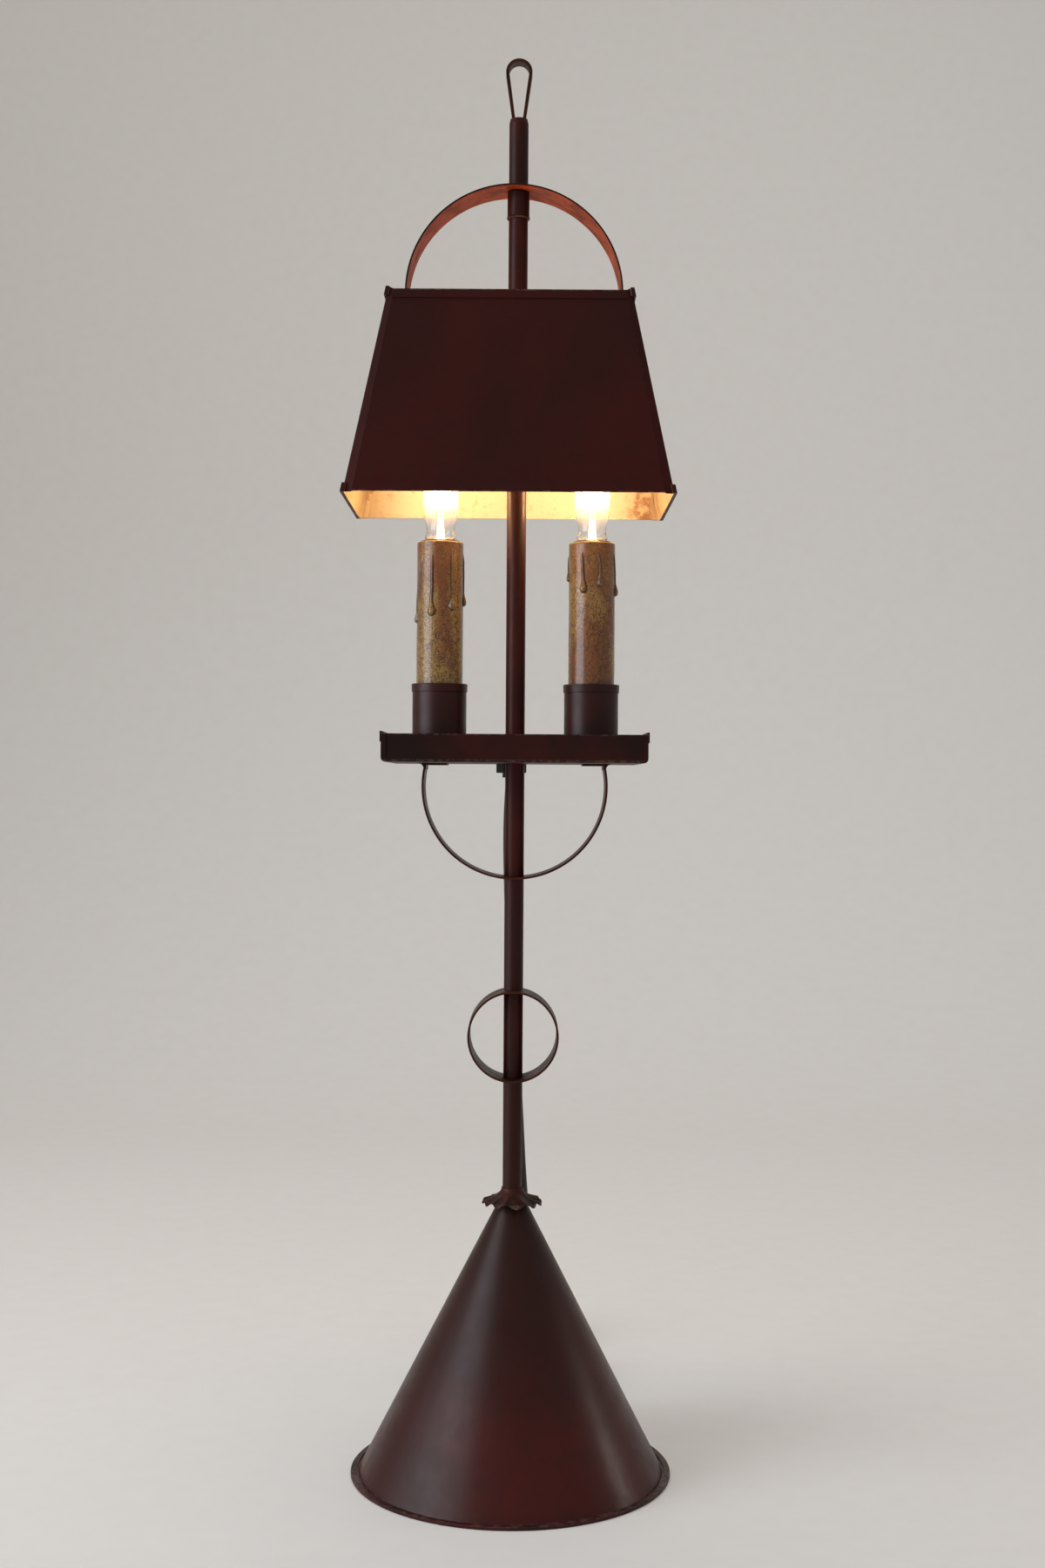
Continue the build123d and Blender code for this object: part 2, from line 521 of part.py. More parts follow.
def stem_top_loop():
    """Hanging loop: one strip bent to a teardrop, its legs cut narrower where they enter the stem."""
    bow, mouth = LOOP_WIDTH / 2, LOOP_MOUTH
    outline = teardrop(bow, mouth) - teardrop(bow - LOOP_STRIP, mouth - LOOP_STRIP)
    tang_foot_z = STEM_TOP_Z - LOOP_TANG_LENGTH
    bend_z = STEM_TOP_Z - STEM_CRIMP_HEIGHT
    tang = STEM_BORE - LOOP_TANG_INSET
    for side in (-1, 1):
        leg = Polyline((side * mouth, STEM_TOP_Z), (side * tang, bend_z), (side * tang, tang_foot_z),
                       (side * (tang - LOOP_STRIP), tang_foot_z), (side * (tang - LOOP_STRIP), bend_z),
                       (side * (mouth - LOOP_STRIP), STEM_TOP_Z), close=True)
        outline += make_face(leg)
    half, narrow = LOOP_DEPTH / 2, LOOP_MOUTH_DEPTH / 2
    waist_z = STEM_TOP_Z + LOOP_STRIP
    full_z = waist_z + LOOP_WIDTH
    side_view = Plane.YZ * make_face(Polyline(
        (-narrow, tang_foot_z), (-narrow, waist_z), (-half, full_z), (-half, LOOP_TOP_Z),
        (half, LOOP_TOP_Z), (half, full_z), (narrow, waist_z), (narrow, tang_foot_z), close=True))
    return strip(outline, LOOP_DEPTH) & extrude(side_view, LOOP_WIDTH, both=True)


def stem_ring():
    """Strap bent to a full ring that the stem passes through."""
    radius = RING_DIAMETER / 2
    band = strip(Pos(0, RING_CENTRE_Z) * (Circle(radius) - Circle(radius - STRAP_THICKNESS)), STRAP_WIDTH)
    return band - tube(STEM_HOLE, 0, RING_CENTRE_Z - RING_DIAMETER, RING_CENTRE_Z + RING_DIAMETER)


# ================================================================ tray
def tray_brace():
    """U-shaped strap from the stem to the tray, with feet bent in and soldered under the tray."""
    foot_low = TRAY_FLOOR_Z - STRAP_THICKNESS
    rise = TRAY_FLOOR_Z - BRACE_CENTRE_Z
    outer_x = sqrt(BRACE_RADIUS ** 2 - rise ** 2)
    arc = Pos(0, BRACE_CENTRE_Z) * (Circle(BRACE_RADIUS) - Circle(BRACE_RADIUS - STRAP_THICKNESS))
    above = Pos(0, TRAY_FLOOR_Z + BRACE_RADIUS) * Rectangle(3 * BRACE_RADIUS, 2 * BRACE_RADIUS)
    outline = arc - above
    for side in (-1, 1):
        foot = Pos(side * (outer_x - BRACE_FOOT_LENGTH / 2), (foot_low + TRAY_FLOOR_Z) / 2)
        outline += foot * Rectangle(BRACE_FOOT_LENGTH, STRAP_THICKNESS)
        lump_x = side * (outer_x + (BRACE_SOLDER - BRACE_SOLDER_BITE) / 2)
        lump_at = Pos(lump_x, TRAY_FLOOR_Z - BRACE_SOLDER / 2)
        lump = lump_at * Rectangle(BRACE_SOLDER + BRACE_SOLDER_BITE, BRACE_SOLDER)
        hollow_x = side * (outer_x + BRACE_SOLDER * 1.1)
        outline += lump - Pos(hollow_x, TRAY_FLOOR_Z - BRACE_SOLDER) * Circle(BRACE_SOLDER * 0.92)
    strap = strip(outline, STRAP_WIDTH)
    return strap - tube(STEM_HOLE, 0, BRACE_CENTRE_Z - 2 * BRACE_RADIUS, TRAY_FLOOR_Z + OVERCUT)


def tray_pan():
    """Shallow pan with rounded lower corners and hemmed end walls that stand above the others."""
    half_x, half_y = TRAY_WIDTH / 2, TRAY_DEPTH / 2
    end_top_z = TRAY_TOP_Z + TRAY_HEM_RISE
    in_x, in_y = half_x - TIN, half_y - TIN
    outside = block((-half_x, -half_y, TRAY_FLOOR_Z), (half_x, half_y, end_top_z))
    outside = fillet(outside.edges().group_by(Axis.Z)[0], TRAY_CORNER)
    inside = block((-in_x, -in_y, TRAY_FLOOR_Z + TIN), (in_x, in_y, end_top_z + OVERCUT))
    inside = fillet(inside.edges().group_by(Axis.Z)[0], TRAY_CORNER - TIN)
    pan = outside - inside
    pan -= block((-in_x, -half_y - OVERCUT, TRAY_TOP_Z), (in_x, half_y + OVERCUT, end_top_z + OVERCUT))
    for side in (-1, 1):
        inner, outer = sorted((side * half_x, side * (half_x + TIN)))
        pan += block((inner, -half_y - TIN, end_top_z - TRAY_HEM_HEIGHT), (outer, half_y + TIN, end_top_z))
        for front in (-1, 1):
            near, far = sorted((front * half_y, front * (half_y + TIN)))
            left, right = sorted((side * half_x, side * (half_x - TRAY_LAP)))
            pan += block((left, near, TRAY_FLOOR_Z + TRAY_CORNER), (right, far, end_top_z - TRAY_HEM_RISE))
    pan -= tube(STEM_HOLE, 0, TRAY_FLOOR_Z - OVERCUT, TRAY_TOP_Z)
    return pan - tube(PIPE_HOLE, 0, TRAY_FLOOR_Z - OVERCUT, TRAY_TOP_Z, CORD_EXIT_X, CORD_EXIT_Y)


def tray_deck():
    """False floor that covers the wiring: a sheet with a skirt that stands on the tray's floor."""
    half_x, half_y = TRAY_WIDTH / 2 - TIN - SEAT_GAP, TRAY_DEPTH / 2 - TIN - SEAT_GAP
    skirt_z = TRAY_FLOOR_Z + TRAY_CORNER
    deck = block((-half_x, -half_y, skirt_z), (half_x, half_y, DECK_Z))
    inner_x, inner_y = half_x - TIN, half_y - TIN
    deck -= block((-inner_x, -inner_y, skirt_z - OVERCUT), (inner_x, inner_y, DECK_Z - TIN))
    leg_y = half_y - TRAY_CORNER
    for side in (-1, 1):
        left = side * (half_x - DECK_LEG_INSET) - DECK_LEG_WIDTH / 2
        right = left + DECK_LEG_WIDTH
        for front in (-1, 1):
            low, high = sorted((front * (leg_y - TIN), front * (half_y - TIN / 2)))
            deck += block((left, low, skirt_z), (right, high, skirt_z + TIN))
            near, far = sorted((front * (leg_y - TIN), front * leg_y))
            deck += block((left, near, TRAY_FLOOR_Z + TIN), (right, far, skirt_z + TIN))
    deck -= tube(STEM_HOLE, 0, TRAY_FLOOR_Z, TRAY_TOP_Z)
    for side in (-1, 1):
        deck -= tube(PIPE_HOLE, 0, TRAY_FLOOR_Z, TRAY_TOP_Z, side * CANDLE_X)
    return deck


# ================================================================ candles
def candle_cup(x):
    """Cup that holds a candle, with a band soldered round its rim."""
    band = CUP_RADIUS + CUP_BAND_THICKNESS
    band_z = CUP_RIM_Z - CUP_BAND_HEIGHT
    ease = CUP_BAND_THICKNESS / 2
    return turned([
        (PIPE_HOLE, DECK_Z), (CUP_RADIUS - CUP_CORNER, DECK_Z), (CUP_RADIUS, DECK_Z + CUP_CORNER),
        (CUP_RADIUS, band_z), (band, band_z + ease), (band + ease / 2, CUP_RIM_Z - ease),
        (band - ease, CUP_RIM_Z), (CUP_RADIUS - TIN, CUP_RIM_Z), (CUP_RADIUS - TIN, CUP_FLOOR_Z),
        (PIPE_HOLE, CUP_FLOOR_Z),
    ], x)


def drip(angle, share, bead_share):
    """One wax drip: a thread down the candle's side that ends in a bead."""
    foot_z = CANDLE_TOP_Z - share * CANDLE_LENGTH
    top_z = CANDLE_TOP_Z - DRIP_START_DROP
    thread = DRIP_THREAD_RADIUS
    bead = bead_share * thread
    out = CANDLE_RADIUS - thread * DRIP_SUNK
    at_x, at_y = out * cos(radians(angle)), out * sin(radians(angle))
    run = turned([(0, foot_z + bead * 0.3), (bead * 0.92, foot_z + bead * 0.9), (bead, foot_z + bead * 1.5),
                  (thread, foot_z + bead * 4.5), (thread * 0.9, top_z - 3 * thread), (thread / 4, top_z),
                  (0, top_z)], at_x, at_y)
    return run + Pos(at_x, at_y, foot_z + bead * 1.25) * Sphere(bead)


def candle_sleeve(x, drips):
    """Resin candle tube with wax drips run down from its rim."""
    ease = CANDLE_EDGE / 2
    candle = turned([
        (CANDLE_BORE, CUP_FLOOR_Z), (CANDLE_RADIUS, CUP_FLOOR_Z), (CANDLE_RADIUS, CANDLE_TOP_Z - CANDLE_EDGE),
        (CANDLE_RADIUS - ease, CANDLE_TOP_Z), (CANDLE_BORE + ease, CANDLE_TOP_Z),
        (CANDLE_BORE, CANDLE_TOP_Z - ease),
    ])
    for angle, share, bead_share in drips:
        candle += drip(angle, share, bead_share)
    inside = tube(CANDLE_BORE, 0, CUP_FLOOR_Z - OVERCUT, CANDLE_TOP_Z + OVERCUT)
    return Pos(x, 0, 0) * (candle - inside)


def cup_pipe(x):
    """Threaded nipple that holds the deck, the cup and the socket's bracket together."""
    return tube(PIPE_RADIUS, PIPE_BORE / 2, CUP_PIPE_Z, CUP_PIPE_Z + CUP_PIPE_LENGTH, x)


def cup_nuts(x):
    """The nuts under the deck and inside the cup."""
    lower = nut(CUP_PIPE_Z, NUT_THICKNESS, PIPE_HOLE, x)
    upper = nut(CUP_FLOOR_Z, NUT_THICKNESS, PIPE_HOLE, x)
    return Compound(children=[lower, upper])


def socket_bracket(x):
    """Strap from the threaded foot up to the underside of the socket."""
    reach = SOCKET_RADIUS - BRACKET_THICKNESS
    back = reach - BRACKET_THICKNESS
    left, right = x - BRACKET_WIDTH / 2, x + BRACKET_WIDTH / 2
    foot = tube(reach, PIPE_HOLE, BRACKET_Z, BRACKET_Z + BRACKET_THICKNESS, x)
    hub = tube(PIPE_RADIUS + BRACKET_HUB_WALL, PIPE_HOLE, BRACKET_Z, CUP_PIPE_Z + CUP_PIPE_LENGTH, x)
    leg = block((left, back, BRACKET_Z), (right, reach, SOCKET_FOOT_Z))
    leg &= tube(reach, 0, BRACKET_Z - OVERCUT, SOCKET_FOOT_Z + OVERCUT, x)
    top = block((left, PIPE_BORE / 2, SOCKET_FOOT_Z - BRACKET_THICKNESS),
                (right, back + BRACKET_THICKNESS / 2, SOCKET_FOOT_Z))
    return foot + hub + leg + top


def socket_body(x):
    """Insulating body of the lamp holder, with a wider collar at its mouth."""
    bore = SHELL_BORE + SCREW_SHELL_WALL + SEAT_GAP
    collar_z = SOCKET_TOP_Z - SOCKET_FLANGE_HEIGHT
    ease = SOCKET_FLANGE_HEIGHT / 6
    return turned([
        (0, SOCKET_FOOT_Z), (SOCKET_RADIUS - SOCKET_BEVEL, SOCKET_FOOT_Z),
        (SOCKET_RADIUS, SOCKET_FOOT_Z + SOCKET_BEVEL),
        (SOCKET_RADIUS, collar_z), (SOCKET_FLANGE_RADIUS, collar_z + ease),
        (SOCKET_FLANGE_RADIUS, SOCKET_TOP_Z - ease), (SOCKET_FLANGE_RADIUS - ease, SOCKET_TOP_Z),
        (bore, SOCKET_TOP_Z), (bore, SOCKET_WELL_Z), (0, SOCKET_WELL_Z),
    ], x)


def socket_shell(x):
    """Brass screw shell inside the socket's body, turned in at its foot."""
    top_z = SOCKET_TOP_Z - SCREW_SHELL_LIP
    wall = SHELL_BORE + SCREW_SHELL_WALL
    lip = SHELL_BORE * 0.67
    inner_z = SOCKET_WELL_Z + SCREW_SHELL_WALL
    return turned([(lip, SOCKET_WELL_Z), (wall, SOCKET_WELL_Z), (wall, top_z), (SHELL_BORE, top_z),
                   (SHELL_BORE, inner_z), (lip, inner_z)], x)


def socket_contact(x):
    """Spring tongue that rises from the well's floor to the bulb's tip."""
    half, thick, low = CONTACT_WIDTH / 2, CONTACT_STRIP, SOCKET_WELL_Z
    foot = block((x - 2 * half, -half, low), (x + half, half, low + thick))
    tip = BULB_FOOT_Z
    outline = Polyline(
        (x + half, low), (x + half + thick, low + thick), (x - thick / 2, tip), (x - half, tip),
        (x - half, tip - thick), (x - thick, tip - thick), (x + half - thick, low + thick / 2), close=True)
    return foot + Pos(0, half, 0) * extrude(Plane.XZ * make_face(outline), CONTACT_WIDTH)


# ================================================================ bulbs
def bulb_base(x):
    """Brass screw cap with its insulator and centre contact."""
    radius = BULB_BASE_DIAMETER / 2
    inner = radius - BULB_CAP_WALL
    taper_z = BULB_FOOT_Z + BULB_CAP_TAPER
    return turned([
        (0, BULB_FOOT_Z), (radius * 0.27, BULB_FOOT_Z), (radius * 0.34, BULB_FOOT_Z + BULB_CAP_TAPER / 4),
        (radius * 0.73, BULB_FOOT_Z + BULB_CAP_TAPER * 0.65), (radius, taper_z), (radius, SOCKET_TOP_Z),
        (inner, SOCKET_TOP_Z), (inner, taper_z + BULB_CAP_WALL), (0, taper_z - BULB_CAP_WALL),
    ], x)


def bulb_outline(inset):
    """Half outline of the glass, drawn in by inset: a neck in the cap, a skirt, a waist and a dome."""
    cap = BULB_BASE_DIAMETER / 2 - BULB_CAP_WALL - SEAT_GAP - inset
    skirt, waist = BULB_SKIRT_DIAMETER / 2 - inset, BULB_NECK_DIAMETER / 2 - inset
    body, tip_z = BULB_DIAMETER / 2 - inset, SOCKET_TOP_Z + BULB_LENGTH - inset
    foot, neck = SOCKET_TOP_Z, BULB_NECK_HEIGHT
    lift = neck / 50
    skirt_z, waist_z, full_z = foot + 0.4 * neck, foot + neck, foot + BULB_SHOULDER
    rise = full_z - waist_z
    dome_z = tip_z - BULB_SHOULDER
    return [
        Line((cap, foot - BULB_NECK_IN_CAP), (cap, foot + lift)),
        Bezier((cap, foot + lift), (cap, foot + neck / 5), (skirt, foot + neck / 12), (skirt, skirt_z)),
        Bezier((skirt, skirt_z), (skirt, foot + 0.65 * neck), (waist, foot + 0.7 * neck), (waist, waist_z)),
        Bezier((waist, waist_z), (waist, waist_z + 0.4 * rise), (body, waist_z + 0.5 * rise), (body, full_z)),
        Line((body, full_z), (body, dome_z)),
        Bezier((body, dome_z), (body, tip_z - 0.38 * BULB_SHOULDER), (body * 0.6, tip_z), (0, tip_z)),
    ]


def bulb_glass(x):
    """Clear tubular envelope of even wall."""
    tip_z = SOCKET_TOP_Z + BULB_LENGTH
    axis_foot = (0, SOCKET_TOP_Z - BULB_NECK_IN_CAP)
    made = []
    for inset in (0.0, BULB_GLASS):
        outline = bulb_outline(inset)
        closing = [Line((0, tip_z - inset), axis_foot), Line(axis_foot, outline[0] @ 0)]
        made.append(revolve(Plane.XZ * make_face(outline + closing), Axis.Z))
    return Pos(x, 0, 0) * (made[0] - made[1])


def bulb_mount(x):
    """Glass stem with two lead wires and the filament between their tips."""
    low = SOCKET_TOP_Z - BULB_NECK_IN_CAP + BULB_GLASS
    press_z = SOCKET_TOP_Z + MOUNT_HEIGHT
    ends_z = SOCKET_TOP_Z + FILAMENT_HEIGHT
    foot, half, wire_radius = MOUNT_FOOT_RADIUS, FILAMENT_WIDTH / 2, FILAMENT_WIRE / 2
    stem = turned([(0, low), (foot, low), (foot / 2, low + foot), (foot * 0.38, press_z - foot / 2),
                   (foot * 0.29, press_z), (0, press_z)])
    for side in (-1, 1):
        path = Polyline((side * 2 * wire_radius, 0, press_z - foot / 2),
                        (side * 4 * wire_radius, 0, press_z + foot), (side * half, 0, ends_z))
        plane = Plane(origin=path @ 0, z_dir=path % 0)
        stem += sweep(plane * Circle(wire_radius), path=path, transition=Transition.RIGHT)
    bow = ThreePointArc((-half, 0, ends_z), (0, 0, ends_z + FILAMENT_BOW), (half, 0, ends_z))
    plane = Plane(origin=bow @ 0, z_dir=bow % 0)
    return Pos(x, 0, 0) * (stem + sweep(plane * Circle(wire_radius * 1.4), path=bow))


# ================================================================ wiring in the tray
def cord_pipe():
    return tube(PIPE_RADIUS, PIPE_BORE / 2, CORD_PIPE_FOOT_Z, CORD_PIPE_TOP_Z, CORD_EXIT_X, CORD_EXIT_Y)


def cord_lower_nut():
    return nut(TRAY_FLOOR_Z - CORD_NUT_THICKNESS, CORD_NUT_THICKNESS, PIPE_HOLE, CORD_EXIT_X, CORD_EXIT_Y)


def cord_upper_nut():
    return nut(TRAY_FLOOR_Z + TIN, NUT_THICKNESS, PIPE_HOLE, CORD_EXIT_X, CORD_EXIT_Y)


def wire(points):
    solid, _ = swept_round(points, [WIRE_DIAMETER * WIRE_BEND] * (len(points) - 2), WIRE_DIAMETER)
    return solid


def socket_leads(x):
    """Two wires from a socket down through the nipple and along the tray's floor to the splices."""
    side = 1 if x > 0 else -1
    low_z = SPLICE_Z - WIRE_SPACING / 2
    wires = []
    for k, splice_y in enumerate(SPLICE_Y):
        at_x = x + side * WIRE_SPACING * (k - 0.5)
        wires.append(wire([(at_x, 0, SOCKET_FOOT_Z), (at_x, 0, low_z), (at_x, splice_y, low_z),
                           (side * SPLICE_LENGTH / 2, splice_y, low_z)]))
    return Compound(children=wires)


def cord_leads():
    """The cord's two conductors, from its pipe to the outer ends of the splices."""
    high_z = SPLICE_Z + WIRE_SPACING / 2
    foot_z = CORD_PIPE_FOOT_Z + CORD_INTO_PIPE + FREE_GAP
    wires = []
    for side, splice_y in zip((-1, 1), SPLICE_Y):
        at_x = CORD_EXIT_X + side * WIRE_SPACING / 2
        turn_x = side * (SPLICE_LENGTH / 2 + LEAD_TURN)
        wires.append(wire([(at_x, CORD_EXIT_Y, foot_z), (at_x, CORD_EXIT_Y, high_z),
                           (turn_x, CORD_EXIT_Y + WIRE_SPACING, high_z), (turn_x, splice_y, high_z),
                           (side * SPLICE_LENGTH / 2, splice_y, high_z)]))
    return Compound(children=wires)


def splices():
    """Two crimped splice barrels that join the cord to both sockets."""
    made = []
    for splice_y in SPLICE_Y:
        barrel = Pos(0, splice_y, SPLICE_Z) * Rot(0, 90, 0) * Cylinder(SPLICE_DIAMETER / 2, SPLICE_LENGTH)
        made.append(chamfer(barrel.edges(), SPLICE_EDGE))
    return Compound(children=made)


# ================================================================ shade
def shade_at(z):
    """Half width, half depth and width of the corner bevels of the shade's outside at a height."""
    share = (z - SHADE_FOOT_Z) / SHADE_HEIGHT
    return (SHADE_FOOT_WIDTH / 2 + share * (SHADE_TOP_WIDTH - SHADE_FOOT_WIDTH) / 2,
            SHADE_FOOT_DEPTH / 2 + share * (SHADE_TOP_DEPTH - SHADE_FOOT_DEPTH) / 2,
            SHADE_FOOT_BEVEL + share * (SHADE_TOP_BEVEL - SHADE_FOOT_BEVEL))


def shade_corner_y(z):
    """Half depth of the end panels, where the bevels meet them."""
    _, half_y, bevel = shade_at(z)
    return half_y - bevel * tan(radians(SHADE_BEVEL_DEGREES))


def shade_outline(z, grow):
    """The shade's outside at a height, grown or shrunk all round."""
    half_x, half_y, bevel = shade_at(z)
    lean = radians(SHADE_BEVEL_DEGREES)
    end_x, end_y = half_x + grow, shade_corner_y(z) + grow * (1 - sin(lean)) / cos(lean)
    face_x, face_y = half_x - bevel + grow * tan(lean / 2), half_y + grow
    quarter = [(end_x, end_y), (face_x, face_y)]
    half = quarter + [(-x, y) for x, y in reversed(quarter)]
    return Pos(SHADE_OFFSET_X, 0, z) * make_face(Polyline(*half, *[(-x, -y) for x, y in half], close=True))


def shade_block(grow, low, high):
    """The shade's tapered block between two heights."""
    return loft([shade_outline(z, grow) for z in (low, high)])


def shade_layer(depth, low, high):
    """One thickness of sheet that follows the shade all round, its outer side depth in from the outside."""
    return shade_block(-depth, low, high) - shade_block(-depth - SHADE_TIN, low - OVERCUT, high + OVERCUT)


def shade_slab(grow, low, high, bevels=0.0, deep=None):
    """A tapered block as wide as the shade less so many bevel widths, and as deep as given."""
    levels = []
    for z in (low, high):
        half_x, _, bevel = shade_at(z)
        half_y = SHADE_FOOT_DEPTH if deep is None else shade_corner_y(z) + deep
        levels.append(Pos(SHADE_OFFSET_X, 0, z) * Rectangle(2 * (half_x - bevels * bevel + grow), 2 * half_y))
    return loft(levels)


def shade_face(front):
    """Front (-1) or back (1) panel: hemmed outwards at its top and foot, and lapped behind the bevels."""
    low, high = SHADE_FOOT_Z, SHADE_TOP_Z
    between = shade_slab(-SEAT_GAP, low, high, bevels=1)
    panel = shade_layer(0, low, high) & between
    for foot in (low, high - SHADE_HEM_HEIGHT):
        panel += shade_layer(-SHADE_TIN, foot, foot + SHADE_HEM_HEIGHT) & between
    lap = shade_layer(SHADE_TIN, low, high) & shade_slab(SHADE_LAP, low, high, bevels=1)
    panel += lap - shade_slab(-SHADE_LAP, low - OVERCUT, high + OVERCUT, bevels=1)
    wide, deep = SHADE_FOOT_WIDTH, SHADE_FOOT_DEPTH
    y_low, y_high = sorted((0, front * deep))
    return panel & block((-wide, y_low, low), (wide, y_high, high))


def shade_end(side):
    """End panel: it turns round the bevelled corners, and its rolled hems stand out past them."""
    foot, top = SHADE_FOOT_Z - SHADE_FOOT_DROP, SHADE_TOP_Z + SHADE_EAR_RISE
    end = shade_layer(0, foot, top)
    for low in (foot, top - SHADE_HEM_HEIGHT):
        high = low + SHADE_HEM_HEIGHT
        roll = shade_slab(SHADE_ROLL, low, high, deep=SHADE_EAR)
        roll -= shade_block(0, low - OVERCUT, high + OVERCUT)
        end += roll - shade_slab(-2 * SHADE_TIN, low - OVERCUT, high + OVERCUT)
    end -= shade_slab(0, foot - OVERCUT, top + OVERCUT, bevels=1)
    half_x, _, bevel = shade_at(SHADE_TOP_Z)
    ear_x, lap_x = (SHADE_OFFSET_X + side * x for x in (half_x - SHADE_TIN, half_x - bevel))
    slope = Polyline((ear_x, top), (lap_x, SHADE_TOP_Z), (SHADE_OFFSET_X, SHADE_TOP_Z),
                     (SHADE_OFFSET_X, top + OVERCUT), (ear_x, top + OVERCUT), close=True)
    end -= strip(make_face(slope), 2 * SHADE_FOOT_DEPTH)
    x_low, x_high = sorted((SHADE_OFFSET_X, side * SHADE_FOOT_WIDTH))
    return end & block((x_low, -SHADE_FOOT_DEPTH, foot), (x_high, SHADE_FOOT_DEPTH, top))


def bail_pad(side, drop):
    """Where the bail's outer face meets the inside of an end panel, drop below the shade's top."""
    z = SHADE_TOP_Z - drop
    return SHADE_OFFSET_X + side * (shade_at(z)[0] - SHADE_TIN), z


def shade_bail():
    """Half-round strap from end panel to end panel, pierced for the stem at its crown."""
    centre_z = BAIL_TOP_Z - BAIL_RADIUS
    outline = Pos(BAIL_OFFSET_X, centre_z) * (Circle(BAIL_RADIUS) - Circle(BAIL_RADIUS - BAIL_STRAP))
    outline -= Pos(BAIL_OFFSET_X, centre_z - BAIL_RADIUS) * Rectangle(3 * BAIL_RADIUS, 2 * BAIL_RADIUS)
    for side in (-1, 1):
        top_x, top_z = bail_pad(side, BAIL_PAD_TOP_DROP)
        low_x, low_z = bail_pad(side, BAIL_PAD_TOP_DROP + BAIL_PAD_LENGTH)
        start_x = BAIL_OFFSET_X + side * BAIL_RADIUS
        inward = -side * BAIL_STRAP
        leg = Polyline((start_x, centre_z), (top_x, top_z), (low_x, low_z), (low_x + inward, low_z),
                       (top_x + inward, top_z - BAIL_STRAP / 3), (start_x + inward, centre_z), close=True)
        outline += make_face(leg)
    hole = tube(STEM_RADIUS + RUNNING_GAP, 0, BAIL_TOP_Z - BAIL_RADIUS / 2, BAIL_TOP_Z + OVERCUT)
    return strip(outline, STRAP_WIDTH) - hole


def slide_sleeve():
    """Short tube that the shade slides and turns on, with a rolled bead at its foot."""
    bore = STEM_RADIUS + RUNNING_GAP
    arch = BAIL_RADIUS - BAIL_STRAP
    furthest = SLEEVE_RADIUS + abs(BAIL_OFFSET_X)
    top_z = BAIL_TOP_Z - BAIL_RADIUS + sqrt(arch ** 2 - furthest ** 2) - FREE_GAP
    foot_z = BAIL_TOP_Z - SLEEVE_FOOT_DROP
    bead, bead_z = SLEEVE_RADIUS + SLEEVE_BEAD, foot_z + SLEEVE_BEAD_HEIGHT / 2
    return turned([
        (bore, foot_z), (SLEEVE_RADIUS, foot_z), (bead, bead_z),
        (SLEEVE_RADIUS, foot_z + SLEEVE_BEAD_HEIGHT), (SLEEVE_RADIUS, top_z), (bore, top_z),
    ])


# ================================================================ cord, switch and plug
def lamp_cord():
    return cord_run("lamp_cord", CORD_ROUTE)


def cord_tail():
    return cord_run("cord_tail", TAIL_ROUTE)


def plug_lead():
    return cord_run("plug_lead", PLUG_LEAD_ROUTE)


def cord_coil():
    """Outer shape of the coiled cord, with a straight stub at each end."""
    reach = 1.5 * CORD_DIAMETER + COIL_SKIN
    inner, outer = COIL_RADIUS - reach, COIL_RADIUS + reach
    low, high, crown = FLOOR_GAP, COIL_TURN_Z[1] + CORD_RADIUS, COIL_TURN_Z[2] + CORD_RADIUS + COIL_SKIN
    ease = 0.7 * CORD_RADIUS
    ridge = CORD_RADIUS + COIL_SKIN
    ring = turned([
        (inner, low + ease), (inner + ease, low), (outer - ease, low), (outer, low + ease),
        (outer, high - ease), (outer - ease, high), (COIL_RADIUS + ridge, crown - ease),
        (COIL_RADIUS + ridge - ease, crown), (COIL_RADIUS - ridge + ease, crown),
        (COIL_RADIUS - ridge, crown - ease), (inner + ease, high), (inner, high - ease),
    ], *COIL_CENTRE)
    for x, z in ((COIL_IN_X, COIL_TURN_Z[0]), (COIL_OUT_X, COIL_TURN_Z[2])):
        y = COIL_CENTRE[1] - COIL_STUB / 2
        ring += Pos(x, y, z) * Rot(90, 0, 0) * Cylinder(CORD_RADIUS, COIL_STUB)
    return ring


def switch_body():
    """In-line switch: a rounded shell with a slot for the wheel and a pin that it turns on."""
    case = extrude(RectangleRounded(SWITCH_WIDTH, SWITCH_LENGTH, SWITCH_CORNER), SWITCH_HEIGHT)
    case = fillet(case.edges().group_by(Axis.Z)[0] + case.edges().group_by(Axis.Z)[-1], SWITCH_EDGE)
    case = Pos(0, 0, FLOOR_GAP) * case
    thin = CORD_RADIUS + SWITCH_NOSE_WALL
    for end in (-1, 1):
        near = Plane(origin=(0, end * (SWITCH_LENGTH / 2 - SWITCH_NOSE_BITE), SWITCH_AXIS_Z), z_dir=(0, end, 0))
        far = Plane(origin=(0, end * (SWITCH_LENGTH / 2 + SWITCH_NOSE), SWITCH_AXIS_Z), z_dir=(0, end, 0))
        case += loft([near * Circle(thin + SWITCH_NOSE_TAPER), far * Circle(thin)])
    room = WHEEL_THICKNESS / 2 + FREE_GAP
    slot = tube(WHEEL_ROOM, WHEEL_PIN_DIAMETER / 2, SWITCH_AXIS_Z - room, SWITCH_AXIS_Z + room, WHEEL_OFFSET)
    return Pos(COIL_IN_X, SWITCH_Y, 0) * (case - slot)


